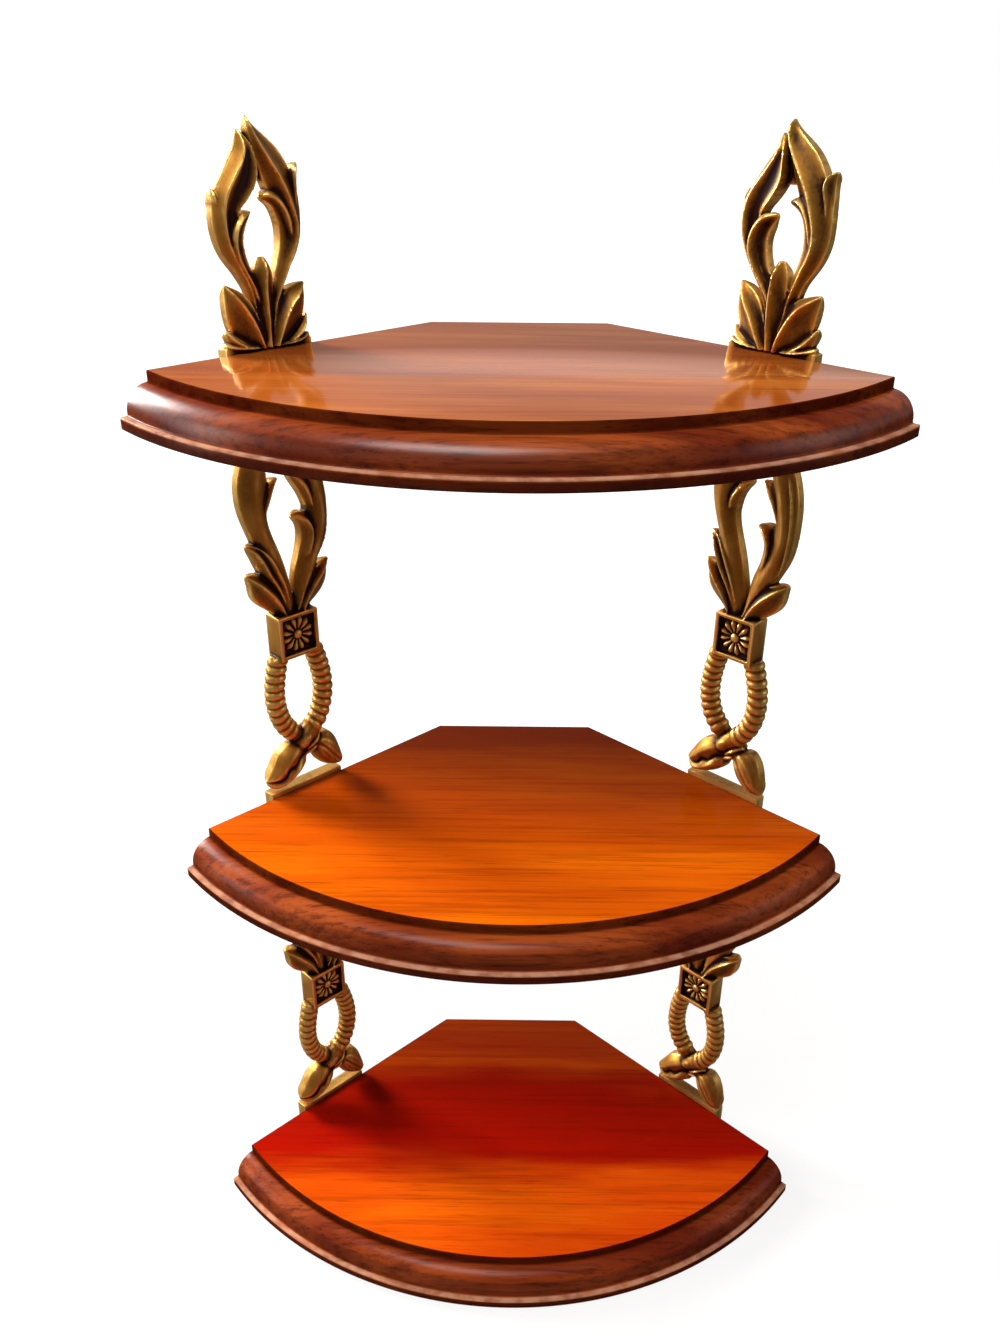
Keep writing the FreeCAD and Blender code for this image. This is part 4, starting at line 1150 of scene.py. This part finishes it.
@dataclass
class SidePanel:
    """The cast side panel: bars behind the boards, ornament in each bay and a leaf crest."""

    finish: bpy.types.Material
    bar_half: float = 19.5
    bar_rise: float = 2.0
    front: float = -3.95
    clearance: float = 0.4
    edge_margin: float = 0.3
    voxel: float = 0.38
    faces: int = 110000
    flatten: float = 0.25
    back_tone: float = 0.42
    broad_rounds: int = 60
    broad_span: float = 1.6
    fine_rounds: int = 6
    fine_span: float = 0.30

    COUNTERSINK: ClassVar[Outline] = ((3.6, 6.5), (3.6, 6.0), (PILOT_RADIUS, 4.25), (PILOT_RADIUS, -0.6))
    PLATE_SEAT: ClassVar[Box] = ((-6.1, 4.5, 391.1), (6.1, 6.5, 416.3))
    POCKET: ClassVar[Box] = ((-4.0, 1.5, 396.95), (4.0, 5.0, 410.45))
    PLATE_BORE: ClassVar[Outline] = ((1.2, 5.2), (1.2, 0.9))

    def fitted(self, sections: np.ndarray, level: Level) -> np.ndarray:
        """Keep a form off the boards below and above its bay.

        Args:
            sections: The form's points.
            level: The board that it stands on.

        Returns:
            The points, moved up or down onto the limits.
        """
        kept = sections.copy()
        floor = level.face + self.clearance
        head = level.foot + BOARD_PITCH
        ceiling = np.where(kept[..., 1] < self.edge_margin, head - self.clearance, head + self.bar_rise)
        if level is Level.TOP:
            ceiling = np.full_like(ceiling, np.inf)
        kept[..., 2] = np.clip(kept[..., 2], floor, ceiling)
        kept[..., 1] = np.clip(kept[..., 1], self.front, PANEL_THICKNESS)
        return kept

    def skin(self) -> Shell:
        """Every form of the casting, still overlapping."""
        skin = Shell()
        for level in Level:
            skin.block((-self.bar_half, 0.0, level.foot),
                       (self.bar_half, PANEL_THICKNESS, level.face + self.bar_rise))
            if level is Level.TOP:
                leaves = CREST
            else:
                leaves = KNOT | FLAME
                for strand in STRANDS:
                    skin.loft(self.fitted(strand.sections(level.face), level))
                RosetteBlock().add_to(skin, level.face)
            for leaf in leaves.values():
                skin.loft(self.fitted(leaf.sections(level.face), level))
        return skin

    def relief(self, mesh: bpy.types.Mesh) -> tuple[np.ndarray, np.ndarray]:
        """Measure how far each point stands out of its surroundings.

        Args:
            mesh: The evenly meshed casting.

        Returns:
            Broad relief and sharpness of the crests, both from 0 to 1.
        """
        points = positions(mesh) / MM
        count = len(points)
        pairs = np.empty(len(mesh.edges) * 2, int)
        mesh.edges.foreach_get("vertices", pairs)
        first, second = pairs.reshape(-1, 2).T
        normals = np.empty(count * 3)
        mesh.vertices.foreach_get("normal", normals)
        normals = normals.reshape(-1, 3)
        near = np.bincount(first, minlength=count) + np.bincount(second, minlength=count)
        smooth, stand = points.copy(), {}
        for step in range(1, self.broad_rounds + 1):
            total = np.column_stack([np.bincount(first, smooth[second, axis], count)
                                     + np.bincount(second, smooth[first, axis], count)
                                     for axis in range(3)])
            smooth = total / np.maximum(near, 1)[:, None]
            if step in (self.fine_rounds, self.broad_rounds):
                stand[step] = np.einsum("ij,ij->i", points - smooth, normals)
        broad = np.clip(0.5 + stand[self.broad_rounds] / self.broad_span, 0, 1)
        sharp = np.clip(0.5 + stand[self.fine_rounds] / self.fine_span, 0, 1)
        return broad, sharp

    def casting(self) -> bpy.types.Mesh:
        """The finished casting: one skin, smoothed, thinned out, drilled and seated for its plate."""
        obj = put("casting", self.skin().mesh("side_panel"))
        worked(obj, "REMESH", mode="VOXEL", voxel_size=self.voxel * MM, use_smooth_shade=True)
        worked(obj, "SMOOTH", factor=0.5, iterations=2)
        points = positions(obj.data)
        wall = points[:, 1] > (PANEL_THICKNESS - self.flatten) * MM
        points[wall, 1] = PANEL_THICKNESS * MM
        obj.data.vertices.foreach_set("co", points.ravel())
        obj.data.update()
        broad, sharp = self.relief(obj.data)
        tree = KDTree(len(points))
        for index, point in enumerate(points):
            tree.insert(point, index)
        tree.balance()
        ratio = self.faces / (2 * len(obj.data.polygons))
        worked(obj, "DECIMATE", decimate_type="COLLAPSE", ratio=min(1.0, ratio))
        cut_away(obj, self.drilling(), self.pocket())
        nearest = [tree.find(vertex.co)[1] for vertex in obj.data.vertices]
        wall = positions(obj.data)[:, 1] > (PANEL_THICKNESS - 0.05) * MM
        for name, values in (("relief", broad), ("crest", sharp)):
            attribute = obj.data.attributes.new(name, "FLOAT", "POINT")
            tone = np.where(wall, self.back_tone, values[nearest])
            attribute.data.foreach_set("value", tone.astype(np.float32))
        dressed(obj.data, 50, self.finish)
        mesh = worked(obj, "WEIGHTED_NORMAL", weight=80, keep_sharp=True).data
        bpy.data.objects.remove(obj)
        return mesh

    def drilling(self) -> Shell:
        """Countersunk holes of the board screws and the seat of the hanger plate."""
        tools = Shell()
        for level in Level:
            for along in SCREW_PLACES:
                tools.turned((along, 0.0, level.axis), self.COUNTERSINK, 28)
        tools.block(*self.PLATE_SEAT)
        return tools

    def pocket(self) -> Shell:
        """Room behind the hanger plate for the wall screw's head and the plate's own screws."""
        tools = Shell()
        tools.block(*self.POCKET)
        for height in sorted(HANGER_SCREWS.values()):
            tools.turned((0.0, 0.0, height), self.PLATE_BORE, 20)
        return tools

    def build(self) -> list[bpy.types.Object]:
        """Build both panels from the one casting."""
        mesh = self.casting()
        made = []
        for side in Side:
            obj = put(f"{side.word}_cast_panel", mesh, panel_matrix(side))
            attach(obj, "root")
            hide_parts(f"{side.word}_side_panel")
            made.append(obj)
        return made


@dataclass
class WoodScrew:
    """A countersunk screw with a cross recess, its head at the origin and its point along z."""

    name: str
    finish: bpy.types.Material
    diameter: float
    length: float
    head: float
    pitch: float
    sides: int = 24
    thread_root: float = 0.72
    thread_rise: float = 0.26
    recess_width: float = 0.62
    recess_slot: float = 0.13
    recess_depth: float = 0.85

    def mesh(self) -> bpy.types.Mesh:
        """Turn the head and the threaded shank, then sink the cross recess."""
        radius, head = self.diameter / 2, self.head / 2
        neck = head - radius
        point = self.length - self.diameter
        turn = np.linspace(0, math.tau, self.sides, endpoint=False)
        cap = ((0.06, head - 0.25), (0.10, head - 0.06), (0.30, head - 0.10), (neck, radius * 0.92))
        rows = [(z, np.full(self.sides, size)) for z, size in cap]
        for z in np.arange(neck + 0.2, self.length - 0.2, self.pitch / 6):
            rise = 1 - 2 * np.abs((z / self.pitch - turn / math.tau) % 1.0 - 0.5)
            taper = np.clip((self.length - z) / (self.length - point), 0.06, 1.0)
            rows.append((z, radius * taper * (self.thread_root + self.thread_rise * rise ** 2)))
        skin = Shell()
        skin.loft(np.array([
            np.column_stack((ring * np.cos(turn), ring * np.sin(turn), np.full(self.sides, z)))
            for z, ring in rows]))
        obj = put(self.name, skin.mesh(self.name))
        wide, narrow = head * self.recess_width, head * self.recess_slot
        deep = neck * self.recess_depth
        for across, along in ((wide, narrow), (narrow, wide)):
            slot = Shell()
            slot.loft(np.array([[(-a, -b, z), (a, -b, z), (a, b, z), (-a, b, z)]
                                for a, b, z in ((across, along, -0.2), (across * 0.45, along * 0.8, deep))]))
            cut_away(obj, slot)
        mesh = dressed(obj.data, 45, self.finish)
        bpy.data.objects.remove(obj)
        return mesh


@dataclass
class Fixings:
    """Board screws, hanger plates and their screws on both walls."""

    finish: bpy.types.Material

    def drive(self, mesh: bpy.types.Mesh, node: str, side: Side, along: float,
              height: float) -> bpy.types.Object:
        """Drive one screw from the wall side.

        Args:
            mesh: The screw's mesh.
            node: The node that it stands for.
            side: The wall.
            along: Place along the panel.
            height: Height of its axis.

        Returns:
            The screw.
        """
        place = Matrix.Translation(Vector((along, PANEL_THICKNESS, height)) * MM)
        matrix = panel_matrix(side) @ place @ Matrix.Rotation(math.radians(90), 4, "X")
        obj = put(f"{node}_turned", mesh, matrix)
        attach(obj, "root")
        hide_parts(node)
        return obj

    def build(self) -> list[bpy.types.Object]:
        """Drive every screw and dress the hanger plates."""
        board_screw = WoodScrew("board_screw", self.finish, 3.5, length=30.0, head=7.0, pitch=1.5).mesh()
        plate_screw = WoodScrew("plate_screw", self.finish, 2.2, length=5.0, head=4.0, pitch=0.9).mesh()
        made = []
        for side in Side:
            for level in Level:
                for place, along in zip(("front", "back"), reversed(SCREW_PLACES)):
                    made.append(self.drive(board_screw, f"{side.word}_{level.word}_{place}_screw", side,
                                           along * side.value, level.axis))
            for end, height in HANGER_SCREWS.items():
                made.append(self.drive(plate_screw, f"{side.word}_{end}_hanger_screw", side, 0.0, height))
            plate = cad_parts[f"{side.word}_hanger_plate"]
            plate.data.materials.clear()
            plate.data.materials.append(self.finish)
            made.append(plate)
        return made


@dataclass
class Studio:
    """Pale floor, soft light from the left and the photograph's camera."""

    paper: bpy.types.Material
    camera_place: Triple = (-0.0027, -0.44835, 0.5058)
    turn: Triple = (-0.26, 29.65, 0.45)
    focal: float = 1210.1
    shift: tuple[float, float] = (-4.0, 81.9)
    image_height: int = 1333
    mirror_dark: Colour = (0.05, 0.045, 0.04)
    mirror_light: Colour = (0.74, 0.64, 0.61)
    ambient: Colour = (0.12, 0.115, 0.11)

    def floor(self) -> None:
        """Lay the paper under the shelf."""
        reach, below = 6000.0, -0.6
        corners = [(x * reach, y * reach, below) for x, y in ((-1, -1), (1, -1), (1, 1), (-1, 1))]
        skin = Shell()
        skin.add(np.array(corners), [(0, 1, 2, 3)])
        obj = put("studio_floor", skin.mesh("studio_floor"))
        obj.data.materials.append(self.paper)

    def lamp(self, name: str, place: Triple, aim: Triple, size: tuple[float, float], power: float,
             colour: Colour = WHITE) -> None:
        """Hang one soft lamp.

        Args:
            name: The lamp's name.
            place: Where it hangs.
            aim: What it points at.
            size: Its width and height.
            power: Its power in watts.
            colour: Its light.
        """
        light = bpy.data.lights.new(name, "AREA")
        light.shape, light.size, light.size_y = "RECTANGLE", *size
        light.energy, light.color = power, colour
        obj = put(name, light)
        obj.location = place
        obj.rotation_euler = (Vector(aim) - Vector(place)).to_track_quat("-Z", "Y").to_euler()

    def sky(self) -> None:
        """White behind the shelf for the camera, dimmer soft light for everything else."""
        world = bpy.data.worlds.new("studio_sky")
        bpy.context.scene.world = world
        world.use_nodes = True
        graph = Graph(world.node_tree)
        x, y, z = graph.axes(graph.node("ShaderNodeTexCoord", {}, {}, "Generated"))
        notch = y.ease(0.78, 0.90) * (1.0 - x.ease(-0.30, -0.10))
        ring = (z.ease(-0.06, 0.17) * (1.0 - z.ease(0.40, 0.60)) * (x * -0.5 + y * 0.5).ease(-0.9, 0.5)
                * (1.0 - notch * 0.8))
        right = x.ease(0.70, 0.95) * z.ease(-0.05, 0.10) * (1.0 - z.ease(0.30, 0.50))
        ring = ring.larger(right * 0.7)
        shown = graph.mix(ring, self.mirror_dark, self.mirror_light)
        dim = graph.mix(graph.ray("Glossy"), self.ambient, shown)
        soft = graph.node("ShaderNodeBackground", {}, {"Color": dim, "Strength": 1.0})
        white = graph.node("ShaderNodeBackground", {}, {"Color": WHITE, "Strength": 1.0})
        seen = graph.ray("Camera").larger(graph.ray("Transmission"))
        surface = graph.node("ShaderNodeMixShader", {}, {0: seen, 1: soft, 2: white})
        graph.node("ShaderNodeOutputWorld", {}, {"Surface": surface})

    def camera(self) -> None:
        """Stand the camera where the photograph was taken."""
        yaw, pitch, roll = (math.radians(angle) for angle in self.turn)
        ahead = Vector((math.sin(yaw) * math.cos(pitch), math.cos(yaw) * math.cos(pitch), -math.sin(pitch)))
        level = ahead.cross(Vector((0, 0, 1))).normalized()
        right = math.cos(roll) * level + math.sin(roll) * level.cross(ahead)
        upward = right.cross(ahead)
        lens = bpy.data.cameras.new("photo_camera")
        lens.sensor_width = 36
        lens.lens = self.focal / self.image_height * lens.sensor_width
        lens.shift_x, lens.shift_y = (offset / self.image_height for offset in self.shift)
        turned = Matrix((right, upward, -ahead)).transposed().to_4x4()
        matrix = Matrix.Translation(self.camera_place) @ turned
        bpy.context.scene.camera = put("photo_camera", lens, matrix)

    def build(self) -> None:
        """Set up the whole studio."""
        bpy.context.scene.view_settings.view_transform = "Standard"
        self.floor()
        self.sky()
        self.camera()
        middle = (0.0, 0.0, 0.24)
        self.lamp("window", (-1.08, 0.80, 0.78), middle, (0.45, 0.6), 40.0, (1.0, 0.98, 0.94))
        self.lamp("ceiling", (-0.35, -0.60, 1.75), (0.0, -0.05, 0.24), (0.8, 0.6), 21.0)
        self.lamp("left_wall", (-1.3, -0.12, 0.50), middle, (0.3, 0.8), 4.0)
        self.lamp("right_wall", (1.3, -0.3, 0.6), middle, (0.6, 0.9), 1.8)


def main() -> None:
    """Build the shelf piece by piece and the studio round it."""
    logging.basicConfig(level=logging.INFO, format="%(name)s: %(message)s")
    # The moulding's dark colour is both its grain and the painted shade in its corners.
    stain = dict(straw=(0.44, 0.082, 0.014), heart=(0.17, 0.018, 0.004), streak=(0.022, 0.002, 0.001),
                 band=(0.16, 0.03, 0.01), band_place=0.0, band_width=0.02, band_strength=0.0,
                 coat_roughness=0.30, grain=1.0)
    # Each board's dark band is partly its figure and partly painted shade; on the middle board it is painted
    # shade along the back edge.
    woods = {
        Level.TOP: LacqueredWood(
            "top_lacquer", straw=(0.58, 0.160, 0.022), heart=(0.40, 0.080, 0.010),
            streak=(0.20, 0.035, 0.006), band=(0.50, 0.10, 0.012), shift=(0.31, 0.12, 0.0),
            band_place=0.02, band_width=0.03, band_strength=0.3, gloss=1.0, coat_roughness=0.11),
        # The boards' darkening towards the back edge is painted shade.
        Level.MIDDLE: LacqueredWood(
            "middle_lacquer", straw=(0.80, 0.145, 0.002), heart=(0.60, 0.078, 0.002),
            streak=(0.10, 0.010, 0.001), band=(0.30, 0.035, 0.002), shift=(1.7, 0.05, 0.3),
            band_place=0.088, band_width=0.035, band_strength=0.75, gloss=0.05, coat_roughness=0.06,
            back_shade=0.88),
        Level.BOTTOM: LacqueredWood(
            "bottom_lacquer", straw=(0.81, 0.128, 0.002), heart=(0.58, 0.052, 0.002),
            streak=(0.10, 0.004, 0.001), band=(0.36, 0.002, 0.001), shift=(2.9, 0.02, 0.6),
            band_place=0.010, band_width=0.045, band_strength=0.95, gloss=0.05, coat_roughness=0.06,
            back_shade=0.80),
    }
    pieces = []
    for level, wood in woods.items():
        edge = MouldingStain(f"{level.word}_moulding_stain", shift=wood.shift, foot=level.foot * MM,
                             gloss=0.25 + 0.4 * wood.gloss, **stain)
        pieces.append(Board(level, wood.material(), edge.material()).build())
    pieces += SidePanel(AntiqueGold("antique_gold").material()).build()
    pieces += Fixings(ZincSteel("zinc_steel").material()).build()
    for piece in pieces:
        LOG.info("%s: %d faces", piece.name, len(piece.data.polygons))
    Studio(StudioPaper("studio_paper").material()).build()


if __name__ == "__main__":
    main()
